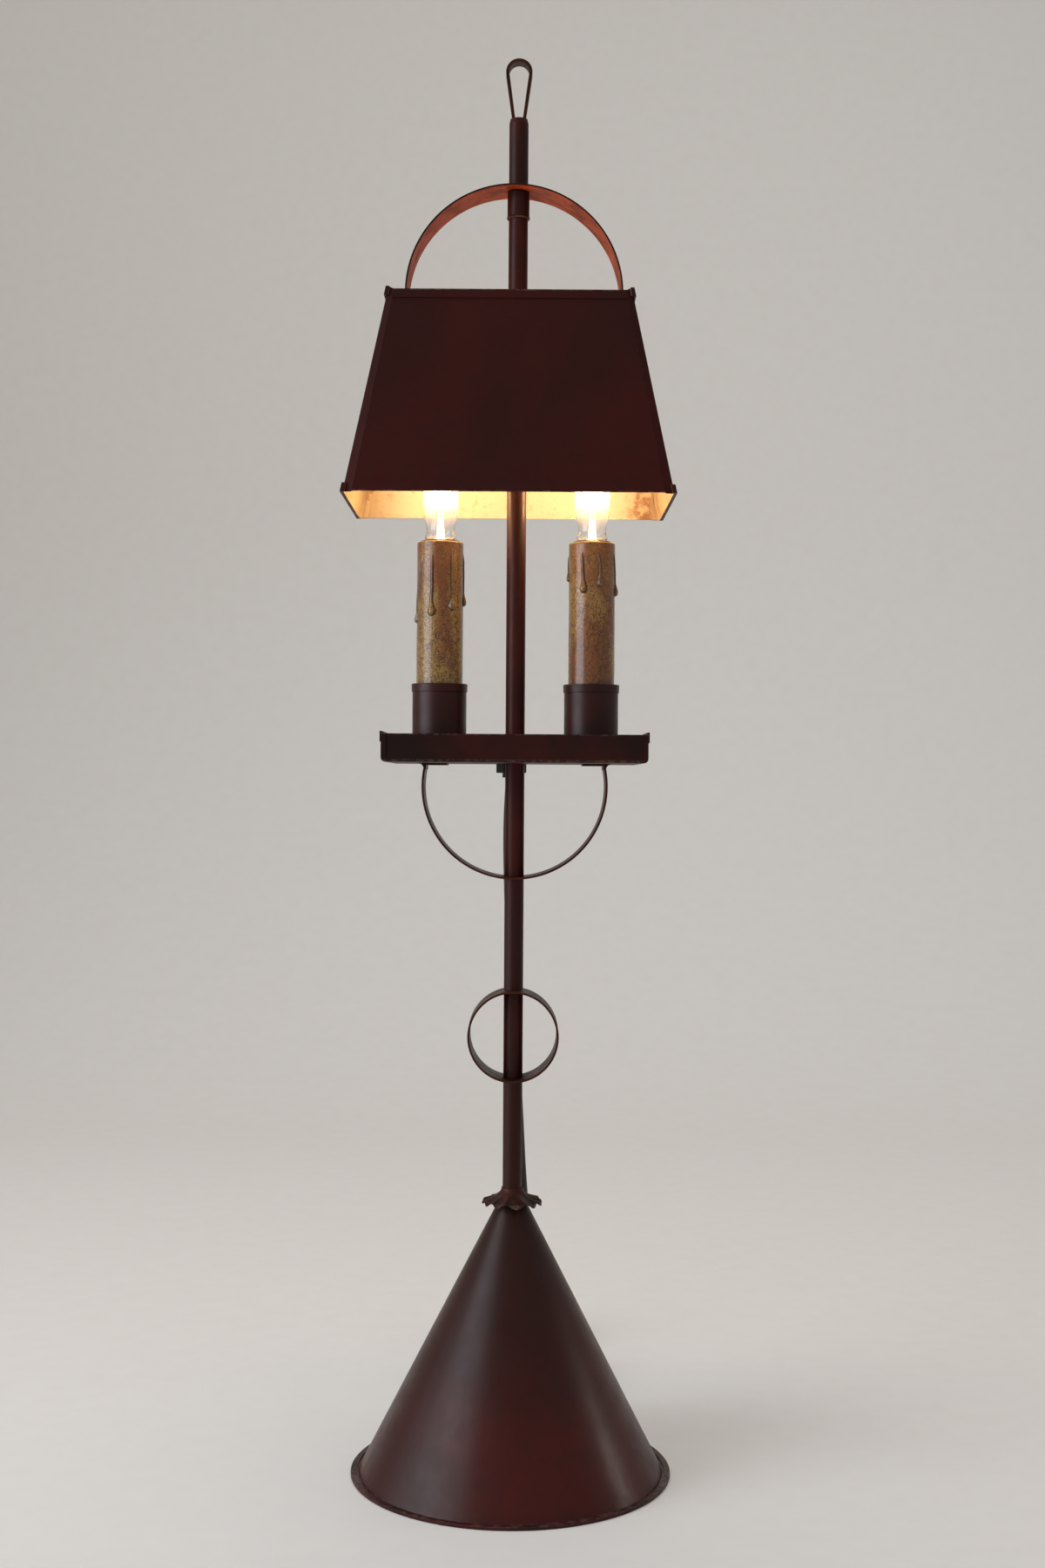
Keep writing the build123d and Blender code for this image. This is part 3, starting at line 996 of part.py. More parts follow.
def switch_wheel():
    """Notched thumb wheel."""
    low, high = SWITCH_AXIS_Z - WHEEL_THICKNESS / 2, SWITCH_AXIS_Z + WHEEL_THICKNESS / 2
    wheel = tube(WHEEL_DIAMETER / 2, WHEEL_PIN_DIAMETER / 2 + RUNNING_GAP, low, high)
    edge = WHEEL_DIAMETER / 2 + WHEEL_NOTCH_RADIUS - WHEEL_NOTCH_DEPTH
    for k in range(WHEEL_NOTCHES):
        angle = 2 * pi * k / WHEEL_NOTCHES
        notch = Cylinder(WHEEL_NOTCH_RADIUS, WHEEL_THICKNESS + 2 * OVERCUT)
        wheel -= Pos(edge * cos(angle), edge * sin(angle), SWITCH_AXIS_Z) * notch
    return Pos(COIL_IN_X + WHEEL_OFFSET, SWITCH_Y, 0) * wheel


def plug_end():
    """Where the plug's nose meets its lead."""
    return PLUG_LEAD_ROUTE[-1]


def plug_body():
    """Moulded two-blade plug with a tapered nose."""
    x, y, z = plug_end()
    back = y - PLUG_NOSE
    face_y = back - PLUG_LENGTH

    def section(at_y):
        return Plane(origin=(x, at_y, z), x_dir=(1, 0, 0), z_dir=(0, -1, 0))

    thin = CORD_RADIUS + PLUG_NOSE_WALL
    nose = loft([section(y) * Circle(thin), section(back - PLUG_NOSE_BITE) * Circle(thin + PLUG_NOSE_TAPER)])
    corner = PLUG_THICKNESS * PLUG_CORNER
    wide = PLUG_WIDTH + PLUG_FLARE
    head = loft([section(back) * RectangleRounded(PLUG_WIDTH, PLUG_THICKNESS * PLUG_BACK, corner),
                 section(back - PLUG_FLARE_LENGTH) * RectangleRounded(wide, PLUG_THICKNESS, corner),
                 section(face_y) * RectangleRounded(wide, PLUG_THICKNESS, corner)], ruled=True)
    return nose + head


def plug_blades():
    """Two flat blades, each with its hole."""
    x, y, z = plug_end()
    face_y = y - PLUG_NOSE - PLUG_LENGTH
    made = []
    for side in (-1, 1):
        at = x + side * BLADE_SPACING / 2
        blade = block((at - BLADE_THICKNESS / 2, face_y - BLADE_LENGTH, z - BLADE_WIDTH / 2),
                      (at + BLADE_THICKNESS / 2, face_y, z + BLADE_WIDTH / 2))
        hole_at = Pos(at, face_y - BLADE_LENGTH + BLADE_HOLE_INSET, z) * Rot(0, 90, 0)
        hole = hole_at * Cylinder(BLADE_HOLE_DIAMETER / 2, BLADE_THICKNESS + 2 * OVERCUT)
        blade = chamfer(blade.faces().sort_by(Axis.Y)[0].edges(), BLADE_EDGE)
        made.append(blade - hole)
    return Compound(children=made)


# ================================================================ writing the nodes
def nodes():
    made = {
        "base_cone": base_cone(),
        "base_plate": base_plate(),
        "base_weight": base_weight(),
        "stem_lower_nut": stem_lower_nut(),
        "stem_upper_nut": stem_upper_nut(),
        "crimped_collar": crimped_collar(),
        "stem_tube": stem_tube(),
        "stem_top_loop": stem_top_loop(),
        "stem_ring": stem_ring(),
        "tray_brace": tray_brace(),
        "tray_pan": tray_pan(),
        "tray_deck": tray_deck(),
        "cord_pipe": cord_pipe(),
        "cord_lower_nut": cord_lower_nut(),
        "cord_upper_nut": cord_upper_nut(),
        "cord_leads": cord_leads(),
        "splices": splices(),
        "slide_sleeve": slide_sleeve(),
        "shade_bail": shade_bail(),
        "shade_front": shade_face(-1),
        "shade_back": shade_face(1),
        "shade_end_left": shade_end(-1),
        "shade_end_right": shade_end(1),
        "lamp_cord": lamp_cord(),
        "cord_tail": cord_tail(),
        "plug_lead": plug_lead(),
        "cord_coil": cord_coil(),
        "switch_body": switch_body(),
        "switch_wheel": switch_wheel(),
        "plug_body": plug_body(),
        "plug_blades": plug_blades(),
    }
    for side, x, drips in (("left", -CANDLE_X, LEFT_DRIPS), ("right", CANDLE_X, RIGHT_DRIPS)):
        made[f"candle_cup_{side}"] = candle_cup(x)
        made[f"candle_sleeve_{side}"] = candle_sleeve(x, drips)
        made[f"cup_pipe_{side}"] = cup_pipe(x)
        made[f"cup_nuts_{side}"] = cup_nuts(x)
        made[f"socket_bracket_{side}"] = socket_bracket(x)
        made[f"socket_body_{side}"] = socket_body(x)
        made[f"socket_shell_{side}"] = socket_shell(x)
        made[f"socket_contact_{side}"] = socket_contact(x)
        made[f"socket_leads_{side}"] = socket_leads(x)
        made[f"bulb_base_{side}"] = bulb_base(x)
        made[f"bulb_glass_{side}"] = bulb_glass(x)
        made[f"bulb_mount_{side}"] = bulb_mount(x)
    return made


def main():
    os.makedirs("parts", exist_ok=True)
    for name, shape in nodes().items():
        export_step(shape, f"parts/{name}.step")


main()
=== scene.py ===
"""Looks of the two-candle bouillotte lamp: materials, wax candles, the flex, the light and the camera."""

import math

import bpy
from mathutils import Matrix, Vector, noise


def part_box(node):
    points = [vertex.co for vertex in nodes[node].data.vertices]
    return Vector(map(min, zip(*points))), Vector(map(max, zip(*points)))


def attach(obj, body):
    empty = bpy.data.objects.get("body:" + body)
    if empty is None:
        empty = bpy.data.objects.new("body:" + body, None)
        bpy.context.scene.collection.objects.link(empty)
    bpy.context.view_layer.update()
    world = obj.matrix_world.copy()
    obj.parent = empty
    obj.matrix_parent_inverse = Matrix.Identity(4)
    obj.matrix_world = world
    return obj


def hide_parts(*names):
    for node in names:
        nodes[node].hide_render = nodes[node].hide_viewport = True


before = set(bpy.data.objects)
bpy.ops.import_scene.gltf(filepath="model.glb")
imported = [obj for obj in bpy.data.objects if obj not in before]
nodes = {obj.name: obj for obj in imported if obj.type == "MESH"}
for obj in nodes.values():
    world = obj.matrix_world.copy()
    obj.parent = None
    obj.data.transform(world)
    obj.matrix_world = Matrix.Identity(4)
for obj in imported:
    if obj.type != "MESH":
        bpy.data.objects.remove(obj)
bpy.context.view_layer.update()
SIDES = ("left", "right")
MM = 0.001


def middle(name):
    """The centre of a node's box."""
    low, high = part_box(name)
    return (low + high) / 2


def smooth_mesh(name, points, faces):
    """A smooth-shaded mesh of these points and faces."""
    mesh = bpy.data.meshes.new(name)
    mesh.from_pydata(points, [], faces)
    mesh.polygons.foreach_set("use_smooth", [True] * len(faces))
    return mesh


def add_object(name, data):
    """A new object in the scene that shows this mesh, curve, lamp or camera."""
    made = bpy.data.objects.new(name, data)
    bpy.context.scene.collection.objects.link(made)
    return made


# ---------------------------------------------------------------- node graphs
def srgb(r, g, b):
    """Linear colour from 0-255 screen values."""
    def linear(v):
        v /= 255
        return v / 12.92 if v <= 0.04045 else ((v + 0.055) / 1.055) ** 2.4
    return (linear(r), linear(g), linear(b), 1.0)


class Graph:
    """A material's node tree with short calls for what the materials here use."""

    def __init__(self, name):
        self.material = bpy.data.materials.new(name)
        self.material.use_nodes = True
        self.tree = self.material.node_tree
        self.tree.nodes.clear()
        self.coords = self.new("ShaderNodeTexCoord")
        self.shader = self.new("ShaderNodeBsdfPrincipled")
        self.output = self.new("ShaderNodeOutputMaterial")
        self.link(self.shader.outputs[0], self.output.inputs[0])

    def new(self, kind):
        return self.tree.nodes.new(kind)

    def link(self, a, b):
        self.tree.links.new(a, b)

    def place(self, socket, value):
        """Link a value that is a socket, or set one that isn't."""
        if isinstance(value, bpy.types.NodeSocket):
            self.link(value, socket)
        else:
            socket.default_value = value

    def where(self, stretch, shift):
        """Places on the object, stretched and shifted."""
        mapping = self.new("ShaderNodeMapping")
        self.link(self.coords.outputs["Object"], mapping.inputs[0])
        mapping.inputs["Scale"].default_value = stretch
        mapping.inputs["Location"].default_value = shift
        return mapping.outputs[0]

    def noise(self, scale, detail, rough=0.55, stretch=(1, 1, 1), shift=(0, 0, 0), distort=0.0):
        """Cloudy noise from 0 to 1, with this many cells to a metre."""
        tex = self.new("ShaderNodeTexNoise")
        self.link(self.where(stretch, shift), tex.inputs["Vector"])
        tex.inputs["Scale"].default_value = scale
        tex.inputs["Detail"].default_value = detail
        tex.inputs["Roughness"].default_value = rough
        tex.inputs["Distortion"].default_value = distort
        return tex.outputs["Fac"]

    def ramp(self, value, low, high, to_low=0.0, to_high=1.0):
        """A smooth step from to_low to to_high as the value goes from low to high."""
        node = self.new("ShaderNodeMapRange")
        node.interpolation_type = "SMOOTHSTEP"
        self.place(node.inputs[0], value)
        for k, v in enumerate((low, high, to_low, to_high), 1):
            node.inputs[k].default_value = v
        return node.outputs[0]

    def band(self, value, centre, half, edge=0.35):
        """1 at the centre, falling to 0 at half away; edge is the share of half that stays 1."""
        away = self.math("ABSOLUTE", self.math("SUBTRACT", value, centre))
        return self.ramp(away, half * edge, half, 1.0, 0.0)

    def math(self, kind, a, b=0.0, clamp=False):
        node = self.new("ShaderNodeMath")
        node.operation = kind
        node.use_clamp = clamp
        self.place(node.inputs[0], a)
        self.place(node.inputs[1], b)
        return node.outputs[0]

    def mix(self, share, a, b):
        """Colour a where share is 0, and b where it is 1."""
        node = self.new("ShaderNodeMix")
        node.data_type = "RGBA"
        self.place(node.inputs[0], share)
        self.place(node.inputs[6], a)
        self.place(node.inputs[7], b)
        return node.outputs[2]

    def axis(self, letter):
        """The object's own X, Y or Z, in metres."""
        split = self.new("ShaderNodeSeparateXYZ")
        self.link(self.coords.outputs["Object"], split.inputs[0])
        return split.outputs["XYZ".index(letter)]

    def vector(self, kind, a, b=None):
        node = self.new("ShaderNodeVectorMath")
        node.operation = kind
        self.place(node.inputs[0], a)
        if b is not None:
            self.place(node.inputs[1], b)
        return node.outputs["Value" if kind == "DOT_PRODUCT" else "Vector"]

    def inward(self, x, y):
        """How much the surface faces an upright axis, from -1 to 1."""
        away = self.vector("SUBTRACT", self.coords.outputs["Object"], (x, y, 0))
        to_axis = self.vector("NORMALIZE", self.vector("MULTIPLY", away, (-1, -1, 0)))
        return self.vector("DOT_PRODUCT", self.coords.outputs["Normal"], to_axis)

    def bump(self, *layers):
        """Each layer is (height, strength, distance in metres)."""
        before = None
        for height, strength, distance in layers:
            node = self.new("ShaderNodeBump")
            node.inputs["Strength"].default_value = strength
            node.inputs["Distance"].default_value = distance
            self.link(height, node.inputs["Height"])
            if before is not None:
                self.link(before, node.inputs["Normal"])
            before = node.outputs[0]
        self.link(before, self.shader.inputs["Normal"])

    def finish(self, colour, rough, metallic=0.0, **constants):
        """Set the shader's main inputs; a constant's name is its socket's, with _ for each space."""
        self.place(self.shader.inputs["Base Color"], colour)
        self.place(self.shader.inputs["Roughness"], rough)
        self.place(self.shader.inputs["Metallic"], metallic)
        for name, value in constants.items():
            self.shader.inputs[name.replace("_", " ")].default_value = value
        return self.material


# ---------------------------------------------------------------- painted tin
GRAIN = srgb(84, 50, 40)       # dust in the glaze
WORN = srgb(112, 88, 74)       # tin that shows where the paint has rubbed through
MOTTLE_SCALE, GRAIN_SCALE, CHIP_SCALE = 105, 1150, 240      # noise cells to a metre


class Paint:
    """Oxide-red paint under a dark antiquing glaze, built up in layers.

    Patches is the number of large patches to a metre, spread the part of their noise in which the red
    turns into the dark, and shift moves the pattern.
    """

    def __init__(self, name, red, dark, patches, spread, shift=(0, 0, 0)):
        self.graph = g = Graph(name)
        self.dark = dark
        self.large = g.noise(patches, 2.5, 0.5, (1, 1, 0.8), shift, 0.5)
        self.mottle = g.noise(MOTTLE_SCALE, 5.0, 0.62, (1, 1, 0.85), shift)
        self.grain = g.noise(GRAIN_SCALE, 3.0, 0.62)
        self.tone = g.mix(g.ramp(self.large, *spread), red, dark)
        self.tone = g.mix(g.ramp(self.mottle, 0.44, 0.74, 0, 0.45), self.tone, dark)
        self.tone = g.mix(g.ramp(self.grain, 0.60, 0.78, 0, 0.20), self.tone, GRAIN)

    def glaze(self, low, high, share_low, share_high, colour=None):
        """More of the dark glaze by height."""
        g = self.graph
        more = g.math("MULTIPLY", g.ramp(g.axis("Z"), low, high, share_low, share_high),
                      g.ramp(self.mottle, 0.25, 0.6, 0.55, 1.0))
        self.tone = g.mix(more, self.tone, colour or self.dark)

    def wear(self, *bands, share):
        """Bare metal at (height, half width) bands, in chips."""
        g = self.graph
        chips = g.ramp(g.noise(CHIP_SCALE, 5.0, 0.72, shift=(5, 2, 1)), 0.47, 0.57)
        for height, half in bands:
            rubbed = g.math("MULTIPLY", g.band(g.axis("Z"), height, half), chips)
            self.tone = g.mix(g.math("MULTIPLY", rubbed, share), self.tone, WORN)

    def lined(self, share, colour):
        """Another colour where share is 1."""
        self.tone = self.graph.mix(share, self.tone, colour)

    def finish(self, rough, specular, coat=0.0):
        """Uneven gloss, and the paint's thickness as bump."""
        g = self.graph
        gloss = g.math("ADD", g.ramp(self.mottle, 0.3, 0.7, rough - 0.05, rough + 0.08),
                       g.ramp(self.grain, 0.4, 0.8, 0, 0.08))
        g.bump((self.large, 0.05, 2.0 * MM), (self.mottle, 0.10, 0.5 * MM), (self.grain, 0.16, 0.1 * MM))
        return g.finish(self.tone, gloss, Specular_IOR_Level=specular, Coat_Weight=coat, Coat_Roughness=0.30)


def cone_paint():
    """Redder at the foot, and darker and browner towards the tip."""
    low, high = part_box("base_cone")
    glaze_low, glaze_high = high.z * 0.40, high.z * 1.05
    paint = Paint("cone_paint", srgb(68, 17, 12), srgb(44, 14, 9), patches=12, spread=(0.30, 0.72),
                  shift=(2.1, 0.4, 0.2))
    paint.glaze(glaze_low, glaze_high, 0.0, 0.9, srgb(40, 17, 9))
    paint.wear((low.z + 0.6 * MM, 0.8 * MM), share=0.3)
    return paint.finish(rough=0.38, specular=0.14, coat=0.22)


def base_paint():
    """Worn along the top of the folded edge."""
    low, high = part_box("base_plate")
    paint = Paint("base_paint", srgb(60, 20, 17), srgb(36, 16, 12), patches=24, spread=(0.40, 0.66))
    paint.wear((high.z, 0.5 * MM), share=0.35)
    return paint.finish(rough=0.42, specular=0.17, coat=0.10)


def stem_paint(name, rubbed_z):
    """Paint of a tube, rubbed round its edge at one height."""
    paint = Paint(name, srgb(70, 20, 14), srgb(46, 17, 11), patches=14, spread=(0.36, 0.62),
                  shift=(0.3, 1.2, 4.0))
    paint.wear((rubbed_z, 1.0 * MM), share=0.4)
    return paint.finish(rough=0.42, specular=0.14, coat=0.08)


def tray_paint():
    """Darker than the stand, and worn along the hems and the lower corners."""
    low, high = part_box("tray_pan")
    paint = Paint("tray_paint", srgb(54, 16, 11), srgb(30, 13, 9), patches=22, spread=(0.36, 0.66),
                  shift=(4.0, 2.0, 1.3))
    paint.wear((high.z - 1.2 * MM, 0.9 * MM), (low.z + 0.8 * MM, 1.0 * MM), share=0.35)
    return paint.finish(rough=0.44, specular=0.13, coat=0.05)


def deck_paint():
    paint = Paint("deck_paint", srgb(54, 21, 16), srgb(32, 17, 13), patches=20, spread=(0.40, 0.62))
    return paint.finish(rough=0.46, specular=0.2)


def cup_paint():
    """The glaze has gathered at the cup's foot."""
    low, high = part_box("candle_cup_left")
    glaze_depth = 9 * MM
    paint = Paint("cup_paint", srgb(54, 15, 9), srgb(34, 12, 8), patches=26, spread=(0.42, 0.66),
                  shift=(7.0, 1.0, 3.0))
    paint.glaze(low.z, low.z + glaze_depth, 0.5, 0.0)
    paint.wear((high.z, 0.6 * MM), share=0.3)
    return paint.finish(rough=0.38, specular=0.22, coat=0.15)


def strap_paint():
    paint = Paint("strap_paint", srgb(68, 28, 17), srgb(38, 18, 12), patches=34, spread=(0.42, 0.64),
                  shift=(1, 6, 2))
    return paint.finish(rough=0.42, specular=0.16)


def bail_paint():
    """The inner side of the bail, facing the bulbs, is painted warmer orange: a painted glow of their light.
    """
    low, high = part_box("shade_bail")
    paint = Paint("bail_paint", srgb(52, 24, 18), srgb(32, 18, 14), patches=30, spread=(0.42, 0.64),
                  shift=(1, 6, 2))
    g = paint.graph
    centre = middle("shade_bail")
    centre.z = high.z - (high.x - low.x) / 2
    away = g.vector("SUBTRACT", g.coords.outputs["Object"], tuple(centre))
    inner = g.vector("DOT_PRODUCT", g.coords.outputs["Normal"],
                     g.vector("NORMALIZE", g.vector("MULTIPLY", away, (-1, 0, -1))))
    # painted glow: this orange stands for the bulbs' warm light falling on the bail's inner face
    painted_bulb_glow = g.mix(g.ramp(paint.mottle, 0.38, 0.66), srgb(152, 64, 22), srgb(112, 46, 18))
    paint.lined(g.ramp(inner, 0.3, 0.6), painted_bulb_glow)
    return paint.finish(rough=0.5, specular=0.12)


def collar_paint():
    """Small patches, and a rim rubbed down to the tin."""
    low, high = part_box("crimped_collar")
    paint = Paint("collar_paint", srgb(64, 25, 16), srgb(36, 16, 10), patches=75, spread=(0.40, 0.64),
                  shift=(0, 2, 5))
    paint.wear((low.z + 1.2 * MM, 2.0 * MM), share=0.6)
    return paint.finish(rough=0.42, specular=0.18)


def shade_paint(name):
    """Dull dark outside; cream enamel inside, with brown stains, and painted shade darkening it towards the
    ends.
    """
    low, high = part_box(name)
    left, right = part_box("shade_end_left")[0].x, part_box("shade_end_right")[1].x
    centre_x, half_x = (left + right) / 2, (right - left) / 2
    painted_shade_from, runs_at, runs_half = half_x * 0.62, half_x * 0.86, 11 * MM    # out from the middle
    paint = Paint("paint_" + name, srgb(58, 15, 10), srgb(44, 14, 9), patches=10, spread=(0.38, 0.72),
                  shift=(0.5, 3.0, 1.5))
    paint.wear((low.z + 0.3 * MM, 0.6 * MM), (high.z - 0.3 * MM, 0.6 * MM), share=0.4)
    g = paint.graph
    aside = g.math("ABSOLUTE", g.math("SUBTRACT", g.axis("X"), centre_x))
    cloud = g.noise(60, 6.0, 0.66, shift=(1, 4, 2))
    spots = g.noise(330, 5.0, 0.7, shift=(3, 4, 2))
    # painted shade: the lining turns darker and browner towards the ends, where less of the bulbs' light
    # falls
    lining = g.mix(g.ramp(aside, painted_shade_from, half_x), srgb(184, 175, 156), srgb(162, 140, 110))
    lining = g.mix(g.ramp(spots, 0.50, 0.74, 0, 0.45), lining, srgb(138, 112, 80))
    runs = g.math("MULTIPLY", g.band(aside, runs_at, runs_half, 0.2), g.ramp(cloud, 0.47, 0.56))
    lining = g.mix(g.math("MULTIPLY", runs, 0.7), lining, srgb(112, 62, 34))
    inner = g.ramp(g.inward(centre_x, 0), 0.05, 0.16)
    paint.lined(inner, lining)
    return paint.finish(rough=0.5, specular=0.14)


# ---------------------------------------------------------------- the small parts' finishes
def plain(name, colour, other, scale, rough, metallic=0.0, strength=0.12):
    """Two tones, uneven gloss and a fine grain; strength is the bump's."""
    g = Graph(name)
    coarse = g.noise(scale, 5.0, 0.6)
    fine = g.noise(scale * 5, 3.0, 0.6)
    tone = g.mix(g.ramp(coarse, 0.38, 0.68), colour, other)
    g.bump((coarse, strength, 0.2 * MM), (fine, strength, 0.1 * MM))
    return g.finish(tone, g.ramp(fine, 0.3, 0.7, rough - 0.05, rough + 0.1), metallic)


def wax(name, shift, top_z):
    """Antiqued resin: ochre with brown strokes and grime round the drips, darker at the foot; painted bulb
    glow at the top, painted highlight on the rim.
    """
    painted_glow_low, painted_glow_high = top_z - 40 * MM, top_z - 4 * MM
    foot_low, foot_high = top_z - 80 * MM, top_z - 72 * MM
    rim_low, rim_high = top_z - 0.7 * MM, top_z - 0.2 * MM
    g = Graph(name)
    cloud = g.noise(40, 4.0, 0.6, (1, 1, 0.5), shift, 0.6)
    strokes = g.noise(520, 6.0, 0.80, (1, 1, 0.85), shift, 2.0)
    speck = g.noise(1300, 4.0, 0.75, (1, 1, 0.9), shift, 1.4)
    tone = g.mix(g.ramp(cloud, 0.40, 0.60), srgb(174, 136, 68), srgb(138, 80, 32))
    tone = g.mix(g.ramp(strokes, 0.46, 0.56, 0, 0.92), tone, srgb(66, 40, 19))
    tone = g.mix(g.ramp(speck, 0.50, 0.64, 0, 0.6), tone, srgb(48, 28, 15))
    height = g.axis("Z")
    # painted glow: warmer orange towards the top stands for the bulb's warm light falling on the candle
    painted_glow = g.ramp(height, painted_glow_low, painted_glow_high, 0.0, 0.55)
    tone = g.mix(g.math("MULTIPLY", painted_glow, g.ramp(cloud, 0.3, 0.6, 0.5, 1.0)), tone, srgb(118, 62, 24))
    # darker towards the foot, just above the cup
    tone = g.mix(g.ramp(height, foot_low, foot_high, 0.5, 0.0), tone, srgb(56, 38, 26))
    # painted highlight: a lighter band round the rim where the bulb's light catches it
    tone = g.mix(g.ramp(height, rim_low, rim_high, 0.0, 0.7), tone, srgb(196, 168, 120))
    stored = g.new("ShaderNodeAttribute")
    stored.attribute_name = "grime"
    tone = g.mix(g.math("MULTIPLY", stored.outputs["Fac"], 0.92, True), tone, srgb(34, 18, 12))
    g.bump((cloud, 0.3, 1.2 * MM), (strokes, 0.3, 0.35 * MM))
    return g.finish(tone, g.ramp(strokes, 0.3, 0.7, 0.22, 0.42), Specular_IOR_Level=0.35, Coat_Weight=0.6,
                    Coat_Roughness=0.12)


def bulb_glass():
    """Clear glass that glows with its filament, and lets the lamp's own light out."""
    low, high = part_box("bulb_glass_left")
    waist_z, glare_z = low.z + 9 * MM, low.z + 33 * MM      # where the glow starts and is full
    g = Graph("clear_glass_finish")
    g.finish((1, 1, 1, 1), 0.02, Transmission_Weight=1.0, IOR=1.45)
    glow = g.ramp(g.axis("Z"), waist_z, glare_z)
    g.place(g.shader.inputs["Emission Color"], g.mix(glow, srgb(255, 180, 92), srgb(255, 230, 172)))
    g.place(g.shader.inputs["Emission Strength"], g.math("MULTIPLY", g.math("POWER", glow, 1.6), 1.2))
    clear = g.new("ShaderNodeBsdfTransparent")
    path = g.new("ShaderNodeLightPath")
    choice = g.new("ShaderNodeMixShader")
    g.link(path.outputs["Is Shadow Ray"], choice.inputs[0])
    g.link(g.shader.outputs[0], choice.inputs[1])
    g.link(clear.outputs[0], choice.inputs[2])
    g.link(choice.outputs[0], g.output.inputs[0])
    return g.material


def lit_filament():
    """Wire that glows unevenly along its length."""
    g = Graph("lit_filament_finish")
    g.finish(srgb(255, 220, 150), 0.5)
    g.shader.inputs["Emission Color"].default_value = srgb(255, 214, 140)
    g.place(g.shader.inputs["Emission Strength"], g.ramp(g.noise(2000, 2.0), 0.3, 0.7, 22.0, 30.0))
    return g.material


def dress(material, *names):
    """Give the CAD nodes of these names one material all over."""
    for name in names:
        data = nodes[name].data
        data.materials.clear()
        data.materials.append(material)
        for face in data.polygons:
            face.material_index = 0


def both(*stems):
    """The left and the right node of each stem."""
    return [f"{stem}_{side}" for stem in stems for side in SIDES]


iron = plain("cast_iron_finish", srgb(52, 50, 48), srgb(36, 34, 33), scale=150, rough=0.6, metallic=0.3,
             strength=0.4)
steel = plain("plain_steel_finish", srgb(150, 148, 142), srgb(120, 116, 108), scale=160, rough=0.32,
              metallic=0.9)
black = plain("black_steel_finish", srgb(34, 31, 30), srgb(22, 20, 20), scale=240, rough=0.4, metallic=0.4)
brass = plain("brass_finish", srgb(196, 156, 84), srgb(166, 124, 60), scale=220, rough=0.28, metallic=0.95)
moulding = plain("black_moulding_finish", srgb(30, 26, 24), srgb(22, 19, 18), scale=300, rough=0.42,
                 strength=0.06)
cover = plain("wire_cover_finish", srgb(60, 50, 44), srgb(44, 36, 32), scale=500, rough=0.5)
flex = plain("cord_cover_finish", srgb(40, 30, 25), srgb(28, 22, 19), scale=420, rough=0.48, strength=0.1)

dress(cone_paint(), "base_cone")
dress(base_paint(), "base_plate")
dress(stem_paint("stem_paint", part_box("stem_tube")[1].z), "stem_tube")
dress(stem_paint("sleeve_paint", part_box("slide_sleeve")[0].z), "slide_sleeve")
dress(collar_paint(), "crimped_collar")
dress(strap_paint(), "stem_top_loop", "stem_ring", "tray_brace")
dress(tray_paint(), "tray_pan")
dress(deck_paint(), "tray_deck")
dress(cup_paint(), *both("candle_cup"))
dress(bail_paint(), "shade_bail")
for panel in ("shade_front", "shade_back", *both("shade_end")):
    dress(shade_paint(panel), panel)
dress(iron, "base_weight")
dress(steel, "stem_lower_nut", "stem_upper_nut", "cord_upper_nut")
dress(steel, *both("cup_pipe", "cup_nuts", "socket_bracket"))
dress(black, "cord_lower_nut", "cord_pipe")
dress(brass, "plug_blades", *both("socket_shell", "socket_contact", "bulb_base"))
dress(moulding, "switch_body", "switch_wheel", "plug_body", *both("socket_body"))
dress(cover, "cord_leads", "splices", *both("socket_leads"))
dress(flex, "lamp_cord", "cord_tail", "plug_lead", "cord_coil")
dress(bulb_glass(), *both("bulb_glass"))
dress(lit_filament(), *both("bulb_mount"))


# ---------------------------------------------------------------- candles
CANDLE_RADIUS, CANDLE_BORE = 12.5 * MM, 10.9 * MM
CANDLE_EDGE = 0.9 * MM                          # rounding of the rim
WOBBLE, FINE_WOBBLE = 0.16 * MM, 0.05 * MM      # how uneven the side is
WOBBLE_START = 5 * MM                           # the side is fully uneven this far below the rim
WOBBLE_ROUND, WOBBLE_UP = 1.1, 36               # noise cells over the candle's radius, and up a metre of it
FINER = 5                                       # the fine wobble's cells are this much smaller
WAX_SHIFT = {"left": (9.1, 2.3, 0.7), "right": (1.3, 7.7, 5.2)}     # moves each candle's own pattern
AROUND = 240                                    # points round the candle
DRIP_ROW, PLAIN_ROW = 0.36 * MM, 2.2 * MM       # heights of the mesh's rows
DRIPPED_LENGTH = 46 * MM                        # the part of the side with drips, below the rim
DRIP_START = 4 * MM                             # the drips start this far below the rim
THREAD = 0.72 * MM                              # half width of a drip's thread
OUTLINE = 0.65 * MM                             # width of the grime beside a drip
DRIP_RISE = 0.9                                 # a drip stands out by this share of its half width
DRIP_SWAY = 2.2                                 # degrees that a thread wanders
BEAD_NECK = 3                                   # a thread widens to its bead over this many bead radii
THINNEST = 0.1 * MM                             # a thread thinner than this isn't there yet
# Each drip: angle of its top and of its bead (270 is the front), its foot as a share of the candle's
# length below the rim, and its bead's radius in millimetres
DRIPS = {
    "left": [(222, 190, 0.398, 1.6), (252, 251, 0.368, 2.0), (302, 303, 0.340, 2.0), (354, 357, 0.315, 1.9),
             (44, 40, 0.285, 1.8), (96, 98, 0.376, 2.0), (144, 140, 0.312, 1.7)],
    "right": [(166, 184, 0.190, 1.5), (243, 247, 0.250, 1.9), (285, 290, 0.222, 1.8), (338, 352, 0.262, 2.0),
              (60, 60, 0.302, 1.8), (116, 118, 0.239, 1.7)],
}


def smooth(v):
    """A smooth step from 0 to 1."""
    v = max(0.0, min(1.0, v))
    return v * v * (3 - 2 * v)


